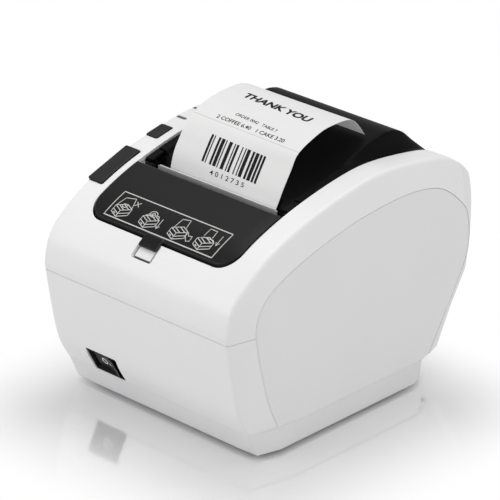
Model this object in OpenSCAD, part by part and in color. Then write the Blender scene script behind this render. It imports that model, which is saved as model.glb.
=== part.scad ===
// Desktop receipt printer for 3 inch rolls, drawn as the assembly it is.
// X runs across the printer, +Y from the front to the back, +Z up from the surface it stands on.
// The origin is the middle of the footprint box, at the bottom of the feet.

/* [Body] */
// Width over the side panels
body_w = 146; // [144:0.5:150]
// Depth of the case, front to back
body_d = 194; // [190:1:200]
// Height of the crest of the white upper case
case_h = 131; // [129:0.5:134]
// Height of the seam between the base tray and the lower case
base_seam_z = 16; // [14:0.5:18]
// Height of the seam between the lower and upper case
case_seam_z = 72; // [68:1:74]
// Wall of the moulded case
wall = 2.4; // [1.8:0.1:2.8]
// Gap between two case mouldings that meet
seam_gap = 0.3; // [0.2:0.05:0.5]
// How far a foot holds the tray off the table
foot_h = 2; // [1:0.5:3]
// Radius of a rubber foot
foot_r = 6; // [5:0.5:8]
// Width of the bevelled strip between the side panel and the top, across X
strip_w = 6; // [4:0.5:7]

/* [Covers] */
// Half width of the opening for the black covers
opening_hw = 52.5; // [51.5:0.25:54]
// Distance from the front of the case to the front edge of the opening
opening_front = 16.2; // [14:0.2:18]
// Corner radius of the opening
opening_r = 11; // [8:0.5:14]
// Gap between a cover and the side edges of the opening
cover_gap = 0.6; // [0.4:0.1:1]
// Gap between the front cover and the front edge of the opening
front_gap = 1.2; // [1.1:0.1:1.6]
// Wall of the covers
cover_wall = 2; // [1.5:0.1:2.4]
// Height of the hump of the paper cover above the upper case
hump_h = 7.4; // [5:0.2:9]
// Half width of the flat top of the hump
hump_hw = 46; // [43:0.5:47]
// Width of the finger tab on the front cover
tab_w = 15.4; // [12:0.2:20]
// How far the finger tab reaches over the case
tab_len = 4.6; // [3:0.2:6]
// Middle of the finger tab, to one side of the middle of the cover
tab_x = -1.9; // [-4:0.1:4]
// Hinge axis of the paper cover, from the back of the case
hinge_back = 14; // [13:0.5:16]
// Hinge axis of the paper cover, below the crest of the case
hinge_drop = 25; // [23:0.5:27]
// Radius of the cover's hinge pin
hinge_pin_r = 1.5; // [1.2:0.1:1.8]

/* [Paper] */
// Width of the paper
paper_w = 76; // [70:1:78]
// Thickness the paper is drawn at
paper_t = 0.3; // [0.2:0.05:0.4]
// Radius of the roll as it is now
roll_r = 30; // [20:1:36]
// Outer radius of the roll's card core
core_r = 8; // [7:0.5:10]
// Wall of the card core
core_wall = 1.5; // [1:0.25:2]
// Space between the middle of the platen and the bin
bin_front_gap = 17.7; // [17:0.1:18.5]
// Space between the bin and the back of the case
bin_back_gap = 17.5; // [17:0.1:18.5]
// Wall of the bin
bin_wall = 2; // [1.5:0.1:2.5]

/* [Mechanism] */
// Radius of the platen roller's rubber
platen_r = 6; // [5:0.25:6.5]
// Radius of the platen's steel shaft
platen_shaft_r = 2.5; // [2:0.25:3]
// Outer radius of the bush on the platen's shaft
bush_r = 4; // [3.6:0.1:4.4]
// Gear module
gear_m = 0.6; // [0.5:0.02:0.62]
// Width of the gears
gear_w = 3; // [2.4:0.1:3.2]
// Running clearance of a shaft in its bore
run_fit = 0.05; // [0.03:0.01:0.09]
// Thickness of the mechanism frame's steel plate
frame_t = 1.5; // [1:0.1:1.8]
// Radius of the feed motor
motor_r = 15; // [12:0.5:15.5]
// Length of the feed motor
motor_len = 17; // [12:1:22]
// Thickness of the blades
blade_t = 1; // [0.6:0.1:1.1]
// Working stroke of the moving blade
blade_stroke = 12; // [8:0.5:13]
// Radius of the cutter's thumb wheel
knob_r = 8; // [7:0.25:8.5]
// Radius of the cutter motor
cutter_motor_r = 7; // [5:0.5:8]
// Length of the cutter motor
cutter_motor_len = 24; // [18:1:28]

/* [Controls] */
// White left beside the open button, across the shoulder
open_button_margin = 3.9; // [3:0.1:6]
// Length of the open button, along the slope
open_button_len = 30; // [24:1:34]
// Travel of the open button
open_button_travel = 3; // [2:0.25:3.5]
// How much narrower a lens is than half of the shoulder
lens_side = 0.25; // [0.1:0.05:0.6]
// Length of the feed button, along the slope
feed_button_len = 12.4; // [8:0.2:14]
// Travel of the feed button
feed_button_travel = 0.8; // [0.5:0.1:1.2]
// Gap round a button
button_gap = 0.4; // [0.3:0.05:0.6]
// Width of the power switch bezel
bezel_w = 22.4; // [20:0.2:26]
// Height of the power switch bezel, up the front
bezel_h = 15.6; // [13:0.2:17]
// Width of the rocker
rocker_w = 17.4; // [14:0.2:18]
// Height of the rocker
rocker_h = 10.8; // [9:0.2:12]
// How far the power switch is set back in its opening
switch_set_back = 1.7; // [1:0.1:2.2]
// Full swing of the rocker, in degrees
rocker_swing = 14; // [8:1:18]

/* [Connectors] */
// Half width of the connector bay
bay_hw = 36; // [35:0.5:40]
// Height of the top of the connector bay
bay_top = 46; // [42:1:48]
// Thickness of the main board
board_t = 1.6; // [1:0.1:2]
// Height of the underside of the main board
board_z = 20; // [18:0.5:22]

/* [Hidden] */

eps = 0.01;
steps = 3;
black = [0.17, 0.16, 0.16];
front_y = -body_d / 2;
rear_y = body_d / 2;
half_w = body_w / 2;
crease_x = half_w - strip_w;
panel_x = half_w - 2;
panel_t = wall;
corner_r = 12;

// Smooth open curve through points, with n steps to a span
function smooth_curve(p, n) = [
    for (i = [0:len(p) - 2], s = [0:n - 1])
        let (a = p[max(i - 1, 0)], b = p[i], c = p[i + 1], d = p[min(i + 2, len(p) - 1)], t = s / n)
            0.5 * (2 * b + (c - a) * t + (2 * a - 5 * b + 4 * c - d) * t * t
                + (3 * b - a - 3 * c + d) * t * t * t),
    p[len(p) - 1]
];
// The same curve moved by d to the right of its direction of travel
function moved(p, d) = [
    for (i = [0:len(p) - 1])
        let (a = p[max(i - 1, 0)], b = p[min(i + 1, len(p) - 1)], t = (b - a) / norm(b - a))
            p[i] + d * [t[1], -t[0]]
];
function reversed(p) = [for (i = [len(p) - 1:-1:0]) p[i]];
function tail(p) = [for (i = [1:len(p) - 1]) p[i]];
// Closed strip between two offsets of one curve
function band(p, d0, d1) = concat(moved(p, d0), reversed(moved(p, d1)));
// An outline with an open bottom moved inward by d, its two ends carried down past that bottom
function inside_of(p, d) =
    let (q = moved(p, d), n = len(q) - 1)
        d == 0 ? q : concat([q[0] - [0, 2 * d]], q, [q[n] - [0, 2 * d]]);
// Height of a curve that runs front to back, at y
function height_at(p, y) =
    let (k = [for (i = [0:len(p) - 2]) if (p[i][0] <= y && y < p[i + 1][0]) i][0])
        p[k][1] + (p[k + 1][1] - p[k][1]) * (y - p[k][0]) / (p[k + 1][0] - p[k][0]);
function arc(at, r, a0, a1, n) = [
    for (i = [0:n]) at + r * [cos(a0 + (a1 - a0) * i / n), sin(a0 + (a1 - a0) * i / n)]
];

// Side outline of the lower case: its front and its back, both from the bottom up
lower_front = smooth_curve([
    [front_y + 15.5, base_seam_z], [front_y + 8.7, base_seam_z + 12.6], [front_y + 4.8, base_seam_z + 29],
    [front_y + 2.2, case_seam_z - 12], [front_y + 0.7, case_seam_z]
], steps);
lower_back = smooth_curve([
    [rear_y - 32, base_seam_z], [rear_y - 27, base_seam_z + 9.5], [rear_y - 18, base_seam_z + 23],
    [rear_y - 8.7, case_seam_z - 18], [rear_y - 1.2, case_seam_z]
], steps);
// Side outline of the upper case from the front seam over the crest to the back seam
upper_curve = smooth_curve([
    [front_y + 0.7, case_seam_z], [front_y, case_h - 54], [front_y + 3.4, case_h - 41.5],
    [front_y + 12.5, case_h - 31.2], [front_y + 32.5, case_h - 18.8], [front_y + 60.6, case_h - 8.8],
    [front_y + 96, case_h - 1.4], [rear_y - 71, case_h], [rear_y - 34, case_h - 5.2],
    [rear_y - 19, case_h - 12.2], [rear_y - 8.5, case_h - 22], [rear_y - 2, case_h - 33.5],
    [rear_y, case_h - 45], [rear_y - 1.2, case_seam_z]
], steps);
whole_curve = concat(lower_front, tail(upper_curve), tail(reversed(lower_back)));
top_curve = [for (p = upper_curve) if (p[1] > case_h - 40) p];
// Outline of a side panel
panel_curve = smooth_curve([
    [front_y + 33, base_seam_z], [front_y + 25, base_seam_z + 20], [front_y + 17.3, case_seam_z - 2],
    [front_y + 19.4, case_seam_z + 12], [front_y + 29, case_h - 37], [front_y + 51, case_h - 28],
    [front_y + 80, case_h - 20.6], [front_y + 104, case_h - 17], [rear_y - 61, case_h - 16],
    [rear_y - 37, case_h - 21], [rear_y - 19.3, case_h - 35], [rear_y - 14.2, case_h - 46],
    [rear_y - 14.2, case_seam_z - 4], [rear_y - 23, case_seam_z - 22], [rear_y - 40, base_seam_z + 10],
    [rear_y - 44, base_seam_z]
], steps);
// The widest part of the case, low on its sides
foot_line = [
    [front_y + 47, base_seam_z], [rear_y - 52, base_seam_z], [rear_y - 58, base_seam_z + 26],
    [front_y + 44, base_seam_z + 26]
];
// Back of an outline drawn forward by d, for the rounded back corners
function back_in(p, d) = [for (q = p) [min(q[0], rear_y - d - max(0, (rear_y - q[0]) * 0.35)), q[1]]];

// Teeth of the gears, and the directions in which each train runs
platen_teeth = 30;
idler_teeth = 24;
pinion_teeth = 12;
cutter_teeth = 20;
cutter_motor_teeth = 10;
idler_dir = 255;
pinion_dir = 240;
cutter_dir = 219;
mesh_gap = 0.1;
function gear_reach(a, b, dir) = (gear_m * (a + b) / 2 + mesh_gap) * [cos(dir), sin(dir)];
// Turn of a gear of b teeth that meshes with one of a teeth lying on the other side of direction dir
function mesh_turn(turn_a, a, b, dir) = dir + 180 + 180 / b - (turn_a - dir) * a / b;

// Places of the mechanism, in Y and Z
platen = [front_y + 71.8, case_h - 27];
nip_y = platen[0] - platen_r;
blade_z = platen[1] + 8;
idler = platen + gear_reach(platen_teeth, idler_teeth, idler_dir);
pinion = idler + gear_reach(idler_teeth, pinion_teeth, pinion_dir);
cutter_axis = [platen[0] - 18.3, blade_z - gear_m * cutter_teeth / 2 - 0.8];
cutter_motor_axis = cutter_axis + gear_reach(cutter_teeth, cutter_motor_teeth, cutter_dir);
latch_axis = [platen[0] - 16.3, platen[1] - 14];
head_axis = [nip_y - 3, platen[1] - 5.4];
hinge = [rear_y - hinge_back, case_h - hinge_drop];
front_hinge = [front_y + 57.5, case_h - 14.4];
bin_y = [platen[0] + bin_front_gap, rear_y - bin_back_gap];
bin_r = (bin_y[1] - bin_y[0]) / 2 - bin_wall;
bin_bottom_z = bay_top + wall + 1.4;
bin_center = [(bin_y[0] + bin_y[1]) / 2, bin_bottom_z + bin_r];
roll_center = [bin_center[0], bin_bottom_z + roll_r + 0.3];
idler_turn = mesh_turn(idler_dir, platen_teeth, idler_teeth, idler_dir);
pinion_turn = mesh_turn(idler_turn, idler_teeth, pinion_teeth, pinion_dir);
cutter_turn = 90 + 180 / cutter_teeth;
cutter_motor_turn = mesh_turn(cutter_turn, cutter_teeth, cutter_motor_teeth, cutter_dir);
frame_x = paper_w / 2 + 3.5;
gear_x = frame_x + frame_t + 1.5;
lever_x = gear_x + gear_w + 1.1;
lever_t = 1.7;
pin_r = 1.5;

// Places of the controls
shoulder_w = crease_x - opening_hw;
shoulder_x = -(opening_hw + crease_x) / 2 - 2.6;
open_button_w = shoulder_w - open_button_margin;
feed_button_w = shoulder_w / 2 + 1.15;
open_button_y = front_y + 47.7;
feed_button_y = front_y + 81.2;
lens_y = [front_y + 98, front_y + 110.6, front_y + 123.2];
lens_w = shoulder_w / 2 - lens_side;
lens_l = 2.2;
button_t = 5;
stem_y = -12;
stem_depth = 15.8;
guide_depth = 14.5;
button_board_z = case_h - 18;
switch_lean = atan2(12.6, -6.8);
switch_at = [-35, front_y + 12.1, base_seam_z + 6.3];
rocker_pivot = -5.2;
front_hinge_r = 2.2;
front_pin_r = 1.2;
ear_x = [opening_hw + 0.1, opening_hw + 2.2];
knuckle_x = [28, 34];
bin_side_x = [paper_w / 2 + 1.6, paper_w / 2 + 4];
cheek_x = [paper_w / 2 + 0.6, paper_w / 2 + 2.6];
ear_r = 4.2;
knuckle_r = 3.6;
well_z = blade_z + 2.2;
ear_slot_x = (bin_side_x[0] + bin_side_x[1]) / 2;
ear_slot_w = bin_side_x[1] - bin_side_x[0] + 1.2;

// Places in the base
post_r = 4;
tray_floor = foot_h + 3;
bin_foot_z = bin_bottom_z - 5.8;
frame_foot_z = platen[1] - 46;
foot_places = [for (s = [-1, 1], y = [front_y + 36, rear_y - 56]) [s * (crease_x - 10), y]];
screw_places = [for (s = [-1, 1], y = [front_y + 58, rear_y - 72]) [s * (crease_x - 13), y]];
board_posts = [for (s = [-1, 1], y = [front_y + 68, rear_y - 58]) [s * 26, y]];
bin_posts = [for (s = [-1, 1], y = [-15, 15]) [s * (bin_side_x[1] + 2), bin_center[0] + y]];
frame_posts = [for (s = [-1, 1], y = [front_y + 41, front_y + 62]) [s * (frame_x - 4.5), y]];
bay_y = rear_y - 39;
port_floor = board_z + board_t;

// An outline in Y and Z, given depth along X
module across(x0, x1) {
    translate([x0, 0, 0]) rotate([90, 0, 90]) linear_extrude(x1 - x0) children();
}
module rod(at, r, x0, x1) {
    translate([x0, at[0], at[1]]) rotate([0, 90, 0]) cylinder(h = x1 - x0, r = r, $fn = 48);
}
module block(x, y, z) {
    translate([x[0], y[0], z[0]]) cube([x[1] - x[0], y[1] - y[0], z[1] - z[0]]);
}
module post(place, r, z0, z1) {
    translate([place[0], place[1], z0]) cylinder(h = z1 - z0, r = r, $fn = 48);
}
// A piece on the sloping top at (x, y), sunk by depth, with its own Z along the outward normal
function top_lean(y) = atan2(height_at(top_curve, y + 3) - height_at(top_curve, y - 3), 6);
module on_top(x, y, depth) {
    translate([x, y, height_at(top_curve, y)]) rotate([top_lean(y), 0, 0]) translate([0, 0, -depth])
        children();
}
// A piece on the lower front, where the power switch sits
module on_front() {
    translate(switch_at) rotate([switch_lean, 0, 0]) translate([0, 0, -switch_set_back]) children();
}
module rounded_plate(w, l, r, h) {
    linear_extrude(h) rounded_outline(w, l, r);
}
module rounded_outline(w, l, r) {
    square([w - 2 * r, l], center = true);
    square([w, l - 2 * r], center = true);
    for (sx = [-1, 1], sy = [-1, 1])
        translate([sx * (w / 2 - r), sy * (l / 2 - r)]) circle(r = r, $fn = 24);
}
module gear(at, teeth, turn, x0, x1, bore) {
    pitch = 360 / teeth;
    root = gear_m * (teeth / 2 - 1.15);
    tip = gear_m * (teeth / 2 + 0.85);
    across(x0, x1) translate(at) difference() {
        polygon([
            for (k = [0:teeth - 1], e = [[root, -0.27], [tip, -0.12], [tip, 0.12], [root, 0.27]])
                e[0] * [cos(turn + pitch * (k + e[1])), sin(turn + pitch * (k + e[1]))]
        ]);
        circle(r = bore, $fn = 48);
    }
}
// Coil spring drawn as its sleeve, standing on its own Z
module spring_sleeve(r, wire, h) {
    difference() {
        cylinder(h = h, r = r, $fn = 24);
        translate([0, 0, -1]) cylinder(h = h + 2, r = r - wire, $fn = 24);
    }
}

// The whole outside of the case, before it is divided
module slice(x, outline) {
    across(x - eps, x + eps) polygon(outline);
}
module case_solid() {
    hull() for (s = [-1, 1]) {
        slice(s * (crease_x - corner_r), whole_curve);
        slice(s * (crease_x - 3.5), back_in(whole_curve, 3.5));
        slice(s * crease_x, back_in(whole_curve, corner_r));
        slice(s * panel_x, panel_curve);
        slice(s * (half_w - eps), foot_line);
    }
}
// The room inside it: full depth in the middle, shorter behind the rounded back corners
module case_room() {
    inner = inside_of(whole_curve, wall);
    across(-crease_x + corner_r, crease_x - corner_r) polygon(inner);
    across(-crease_x + wall, crease_x - wall) polygon(back_in(inner, corner_r));
}
module case_shell(z0, z1) {
    difference() {
        intersection() {
            case_solid();
            block([-body_w, body_w], [-body_d, body_d], [z0, z1]);
        }
        case_room();
    }
}
// Room for a side panel, with a gap round its outline
module panel_pocket(s, gap) {
    x = panel_x - 0.2 - panel_t;
    across(s > 0 ? x : -half_w - 1, s > 0 ? half_w + 1 : -x) polygon(moved(panel_curve, -gap));
}
// Prism that is the opening for the covers, grown by d
module cover_opening(d, z0, z1) {
    hw = opening_hw + d;
    r = opening_r + d;
    y0 = front_y + opening_front - d;
    translate([0, 0, z0]) linear_extrude(z1 - z0) {
        translate([-hw, y0 + r]) square([2 * hw, body_d]);
        translate([-hw + r, y0]) square([2 * (hw - r), body_d]);
        for (s = [-1, 1]) translate([s * (hw - r), y0 + r]) circle(r = r, $fn = 48);
    }
}
module switch_hole() {
    on_front() translate([0, 0, -14]) rounded_plate(bezel_w + 0.2, bezel_h + 0.2, 1, 30);
}

module base_tray() {
    color("white") {
        difference() {
            hull() for (s = [-1, 1]) {
                slice(s * (crease_x - corner_r), [
                    [front_y + 21.8, foot_h], [front_y + 15.8, base_seam_z],
                    [rear_y - 32.4, base_seam_z], [rear_y - 35, foot_h]
                ]);
                slice(s * (crease_x - 0.4), [
                    [front_y + 22.5, foot_h], [front_y + 16.2, base_seam_z],
                    [rear_y - 44, base_seam_z], [rear_y - 46, foot_h]
                ]);
                slice(s * (half_w - 2.6), [
                    [front_y + 36, foot_h], [rear_y - 54, foot_h],
                    [rear_y - 54, foot_h + 1], [front_y + 36, foot_h + 1]
                ]);
                slice(s * (half_w - 0.6), [
                    [front_y + 44, base_seam_z - 1], [rear_y - 54, base_seam_z - 1],
                    [rear_y - 54, base_seam_z], [front_y + 44, base_seam_z]
                ]);
            }
            block([-crease_x + 6, crease_x - 6], [front_y + 26, rear_y - 44], [tray_floor, base_seam_z + 1]);
            switch_hole();
            for (p = foot_places) post(p, foot_r, foot_h - 1, foot_h + 1);
            for (p = screw_places) {
                post(p, screw_head_r + 0.2, foot_h - 1, foot_h + screw_head_h + 0.4);
                post(p, screw_r, foot_h, tray_floor + 1);
            }
        }
        difference() {
            for (p = screw_places) post(p, screw_head_r + 1.6, tray_floor - 0.2, base_seam_z - 0.4);
            for (p = screw_places) post(p, screw_r, foot_h, base_seam_z - 1);
        }
        for (p = board_posts) post(p, 3, tray_floor - 0.5, board_z);
        for (p = bin_posts) post(p, post_r, tray_floor - 0.5, bin_foot_z);
        for (p = frame_posts) post(p, post_r, tray_floor - 0.5, frame_foot_z);
    }
}
screw_r = 1.5;
screw_head_r = 3;
screw_head_h = 2;
module case_screws() {
    z0 = foot_h + 0.4;
    color("silver") difference() {
        for (p = screw_places) {
            post(p, screw_head_r, z0, z0 + screw_head_h);
            post(p, screw_r, z0 + 1, base_seam_z - 1);
        }
        for (p = screw_places, turn = [0, 90]) translate([p[0], p[1], z0])
            rotate([0, 0, turn]) cube([3.4, 0.8, 2.2], center = true);
    }
}

module rubber_feet() {
    color("dimgray") for (p = foot_places) post(p, foot_r, 0, foot_h + 1);
}

module lower_case() {
    color("white") difference() {
        case_shell(base_seam_z, case_seam_z);
        for (s = [-1, 1]) panel_pocket(s, seam_gap);
        block([-bay_hw - wall, bay_hw + wall], [bay_y - 3, rear_y + 1], [base_seam_z - 1, bay_top + wall]);
        switch_hole();
    }
}

module upper_case() {
    color("white") {
        difference() {
            case_shell(case_seam_z, case_h + 5);
            for (s = [-1, 1]) panel_pocket(s, seam_gap);
            cover_opening(0, hinge[1] - 8, case_h + 10);
            on_top(shoulder_x, open_button_y, 8) rounded_plate(open_button_w + 2 * button_gap,
                open_button_len + 2 * button_gap, 1.2, 12);
            on_top(shoulder_x, feed_button_y, 8) rounded_plate(feed_button_w + 2 * button_gap,
                feed_button_len + 2 * button_gap, 1.2, 12);
            for (y = lens_y) on_top(shoulder_x, y, 8) rounded_plate(lens_w, lens_l, 0.8, 12);
            on_top(tab_x, front_y + opening_front - 4.4, -4.4) rotate([0, 90, 0])
                cylinder(h = tab_w + 2.4, r = 5.4, center = true, $fn = 48);
        }
        difference() {
            intersection() {
                union() {
                    for (s = [-1, 1]) block(s > 0 ? ear_x : [-ear_x[1], -ear_x[0]],
                        [front_hinge[0] - 4, front_hinge[0] + 4], [front_hinge[1] - 4, case_h]);
                    for (y = [lens_y[0] - 6.3, lens_y[2] + 6])
                        post([shoulder_x + 2, y], 2.2, button_board_z + board_t, case_h);
                    on_top(shoulder_x, open_button_y, guide_depth + 1.6) translate([-12, 1, 0])
                        cube([16.5, 13, 1.6]);
                }
                across(-crease_x, crease_x) polygon(inside_of(whole_curve, wall / 2));
            }
            rod(front_hinge, front_pin_r + run_fit, -half_w, half_w);
        }
    }
}

module side_panel(s) {
    color("whitesmoke") intersection() {
        case_solid();
        panel_pocket(s, 0);
    }
}
module side_panel_left() { side_panel(-1); }
module side_panel_right() { side_panel(1); }

module front_cover() {
    bar_x = opening_hw - cover_gap - 0.5;
    step_y = front_hinge[0] - 3;
    skin = [for (p = moved(upper_curve, -1)) if (p[1] > case_h - 44 && p[0] < step_y + 12) p];
    color(black) {
        intersection() {
            across(-half_w, half_w) polygon(band(skin, 0, cover_wall + 1));
            translate([0, front_gap - cover_gap, 0]) cover_opening(-cover_gap, 0, case_h + 20);
            block([-half_w, half_w], [-body_d, step_y], [0, case_h + 20]);
        }
        rod(front_hinge, front_hinge_r, -bar_x, bar_x);
        across(-bar_x, bar_x) polygon([
            [step_y - 1, height_at(top_curve, step_y - 1) - 1.6], [step_y - 1, height_at(top_curve, step_y) + 0.4],
            [step_y, height_at(top_curve, step_y) + 0.6], front_hinge + [0, front_hinge_r],
            front_hinge + [-1.5, -1.4]
        ]);
        rod(front_hinge, front_pin_r, -ear_x[1] + 0.2, ear_x[1] - 0.2);
        on_top(tab_x, front_y + opening_front + front_gap + 1.6 - tab_len / 2, -0.15)
            rounded_plate(tab_w, tab_len + 4, 1, 1.5);
    }
}

// Paper cover: its hump over the roll, and its edges along the opening
hump_curve = smooth_curve([
    [front_y + 70.5, case_h - 9.6], [front_y + 82, case_h - 7.6], [front_y + 96, case_h - 4.4],
    [rear_y - 70, case_h + hump_h - 3.2], [rear_y - 58, case_h + hump_h - 0.7],
    [rear_y - 48.6, case_h + hump_h], [rear_y - 39, case_h + hump_h - 2.8],
    [rear_y - 30, case_h + hump_h - 10.4], [rear_y - 16, case_h + hump_h - 22.4],
    [rear_y - 8.4, hinge[1] + 1.4], [rear_y - 4.2, hinge[1] - 3.5]
], steps);
cover_edge_curve = [for (p = upper_curve) if (p[0] > front_y + 60 && p[1] > hinge[1] - 4) p];
cover_under = moved(hump_curve, cover_wall);
module paper_cover() {
    edge_x = [hump_hw - 1, opening_hw - cover_gap];
    rib_x = [hump_hw - 2.4, hump_hw - 0.2];
    low = [for (p = cover_edge_curve) if (p[0] > front_y + 74 && p[0] < hinge[0] - 8) p - [0, cover_wall + 2]];
    high = [for (p = moved(hump_curve, cover_wall / 2)) if (p[0] > front_y + 72 && p[0] < hinge[0] - 8) p];
    color(black) difference() {
        union() {
            across(-hump_hw, hump_hw) polygon(band(hump_curve, 0, cover_wall));
            across(-hump_hw, hump_hw) polygon([
                hump_curve[0], [nip_y + 0.9, hump_curve[0][1] - 2.8], [nip_y + 0.9, well_z],
                [nip_y + 2.3, well_z], [nip_y + 2.3, hump_curve[0][1] - 3.6], hump_curve[0] + [0.9, -1.4]
            ]);
            for (s = [-1, 1]) {
                across(s > 0 ? edge_x[0] : -edge_x[1], s > 0 ? edge_x[1] : -edge_x[0])
                    polygon(band(cover_edge_curve, 0.8, cover_wall + 0.8));
                across(s > 0 ? rib_x[0] : -rib_x[1], s > 0 ? rib_x[1] : -rib_x[0])
                    polygon(concat(high, reversed(low)));
                across(s > 0 ? frame_x + 1 : -hump_hw - 1, s > 0 ? hump_hw + 1 : -frame_x - 1) polygon([
                    [nip_y - 3.4, well_z], [nip_y + 2, well_z], [nip_y + 2, well_z + 1.4],
                    [nip_y - 3.4, well_z + 1.4]
                ]);
                across(s > 0 ? hump_hw - 0.2 : -hump_hw - 1, s > 0 ? hump_hw + 1 : -hump_hw + 0.2) polygon([
                    [nip_y - 3.4, well_z], [nip_y + 6, well_z], [nip_y + 6, case_h - 9.5],
                    [nip_y - 3.4, case_h - 13.2]
                ]);
                across(s > 0 ? knuckle_x[0] : -knuckle_x[1], s > 0 ? knuckle_x[1] : -knuckle_x[0])
                    polygon(concat(arc(hinge, knuckle_r, 180, 360, 12), [hinge + [1.6, 5.2], hinge + [-5, 12]]));
            }
        }
        rod(hinge, hinge_pin_r + run_fit, -half_w, half_w);
        for (s = [-1, 1]) {
            x = [s * ear_slot_x - ear_slot_w / 2, s * ear_slot_x + ear_slot_w / 2];
            rod(hinge, ear_r + 0.8, x[0], x[1]);
            block(x, [hinge[0] - 2, rear_y], [hinge[1] - 12, hinge[1] + 2.6]);
        }
    }
}

module cover_hinge_pin() {
    color("silver") rod(hinge, hinge_pin_r, -bin_side_x[1] - 0.5, bin_side_x[1] + 0.5);
}
module hinge_springs() {
    color("gray") for (s = [-1, 1]) difference() {
        rod(hinge, 3.1, s > 0 ? knuckle_x[0] - 9 : -knuckle_x[0] + 1, s > 0 ? knuckle_x[0] - 1 : -knuckle_x[0] + 9);
        rod(hinge, hinge_pin_r, -half_w, half_w);
    }
}

module platen_bracket() {
    low = platen[1] - 5;
    color("dimgray") difference() {
        union() {
            for (s = [-1, 1]) across(s > 0 ? cheek_x[0] : -cheek_x[1], s > 0 ? cheek_x[1] : -cheek_x[0])
                polygon(concat([[nip_y + 0.9, low], [platen[0] + 6, low], [platen[0] + 17, low + 13]],
                    reversed([for (p = cover_under) if (p[0] < platen[0] + 19) p])));
            across(-cheek_x[1], cheek_x[1]) polygon(concat(
                [for (p = cover_under) if (p[0] < platen[0] + 12) p],
                reversed([for (p = cover_under) if (p[0] < platen[0] + 12) p - [0, 1.5]])));
        }
        rod(platen, bush_r, -half_w, half_w);
        block([-half_w, half_w], [nip_y - 2, nip_y - 2 + blade_stroke], [blade_z - 0.15, blade_z + blade_t + 0.2]);
    }
}
module platen_bushes() {
    color("tan") for (s = [-1, 1]) difference() {
        rod(platen, bush_r, s > 0 ? cheek_x[0] : -frame_x - frame_t - 0.4,
            s > 0 ? frame_x + frame_t + 0.4 : -cheek_x[0]);
        rod(platen, platen_shaft_r + run_fit, -half_w, half_w);
    }
}
module platen_shaft() {
    color("silver") rod(platen, platen_shaft_r, -lever_x - 0.6, frame_x + frame_t + 2);
}
module platen_roller() {
    color([0.12, 0.12, 0.12]) difference() {
        rod(platen, platen_r, -paper_w / 2 + 0.4, paper_w / 2 - 0.4);
        rod(platen, platen_shaft_r, -half_w, half_w);
    }
}
module platen_gear() {
    color("ivory") gear(platen, platen_teeth, idler_dir, -gear_x - gear_w, -gear_x, platen_shaft_r);
}
module fixed_blade() {
    top = blade_z - 0.2;
    color("silver") block([-cheek_x[0], cheek_x[0]], [nip_y + 0.6, nip_y + 13], [top - blade_t, top]);
}

module mechanism_frame() {
    low = frame_foot_z;
    notch_r = bush_r + 0.15;
    color("lightgray") {
        difference() {
            for (s = [-1, 1]) across(s > 0 ? frame_x : -frame_x - frame_t, s > 0 ? frame_x + frame_t : -frame_x)
                difference() {
                    polygon([
                        [front_y + 31, low], [platen[0] + 9, low], [platen[0] + 9, platen[1] + 2],
                        [platen[0] + 6, platen[1] + 6], [nip_y - 5.4, blade_z - 0.2],
                        [cutter_axis[0] - 14.5, blade_z - 0.2], [front_y + 31, platen[1] - 14]
                    ]);
                    translate(platen) circle(r = notch_r, $fn = 48);
                    polygon([
                        platen + [-notch_r, 0], platen + [notch_r, 0], platen + [notch_r + 3, 12],
                        platen + [-notch_r - 1, 12]
                    ]);
                    translate(head_axis) circle(r = head_pin_r + run_fit, $fn = 48);
                }
            rod(cutter_axis, pin_r + run_fit, -half_w, 0);
            rod(pinion, motor_shaft_r + 1, -half_w, 0);
        }
        block([-frame_x, frame_x], [front_y + 31, front_y + 66], [low, low + frame_t]);
        block([-paper_w / 2 + 8, frame_x], [spring_wall_y - frame_t, spring_wall_y],
            [head_axis[1] - 3, blade_z - 1.4]);
        rod(idler, pin_r, -gear_x - gear_w - 0.4, -frame_x);
        rod(latch_axis, pin_r, -lever_x - lever_t - 0.5, -frame_x);
    }
}
head_pin_r = 1.25;
motor_shaft_r = 1.25;
spring_wall_y = nip_y - 10.6;

module idler_gear() {
    color("ivory") gear(idler, idler_teeth, idler_turn, -gear_x - gear_w, -gear_x, pin_r + run_fit);
}
module motor_pinion() {
    color("gold") {
        gear(pinion, pinion_teeth, pinion_turn, -gear_x - gear_w, -gear_x, motor_shaft_r);
        rod(pinion, motor_shaft_r, -gear_x - gear_w, -frame_x + 1);
    }
}
module feed_motor() {
    color("gray") {
        difference() {
            rod(pinion, motor_r, -frame_x, -frame_x + motor_len);
            rod(pinion, motor_shaft_r + 0.4, -frame_x - 1, -frame_x + 2);
        }
    }
}

module print_head() {
    color("whitesmoke") block([-paper_w / 2 + 1, paper_w / 2 - 1], [nip_y - 1.1, nip_y - paper_t - 0.25],
        [platen[1] - 4.5, platen[1] + 4.5]);
}
module heat_sink() {
    color("silver") {
        difference() {
            block([-paper_w / 2 + 0.5, paper_w / 2 - 0.5], [nip_y - 4.8, nip_y - 1.1],
                [platen[1] - 7, platen[1] + 5.8]);
            for (k = [0:3]) block([-half_w, half_w], [nip_y - 5, nip_y - 3.4],
                [platen[1] - 1.5 + 1.9 * k, platen[1] - 0.6 + 1.9 * k]);
        }
        rod(head_axis, head_pin_r, -frame_x - frame_t, frame_x + frame_t);
    }
}
module head_springs() {
    color("gray") for (s = [-1, 1]) translate([s * 20, spring_wall_y, platen[1] + 1.5]) rotate([-90, 0, 0])
        spring_sleeve(2.4, 0.7, nip_y - 5.5 - spring_wall_y);
}

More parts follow.
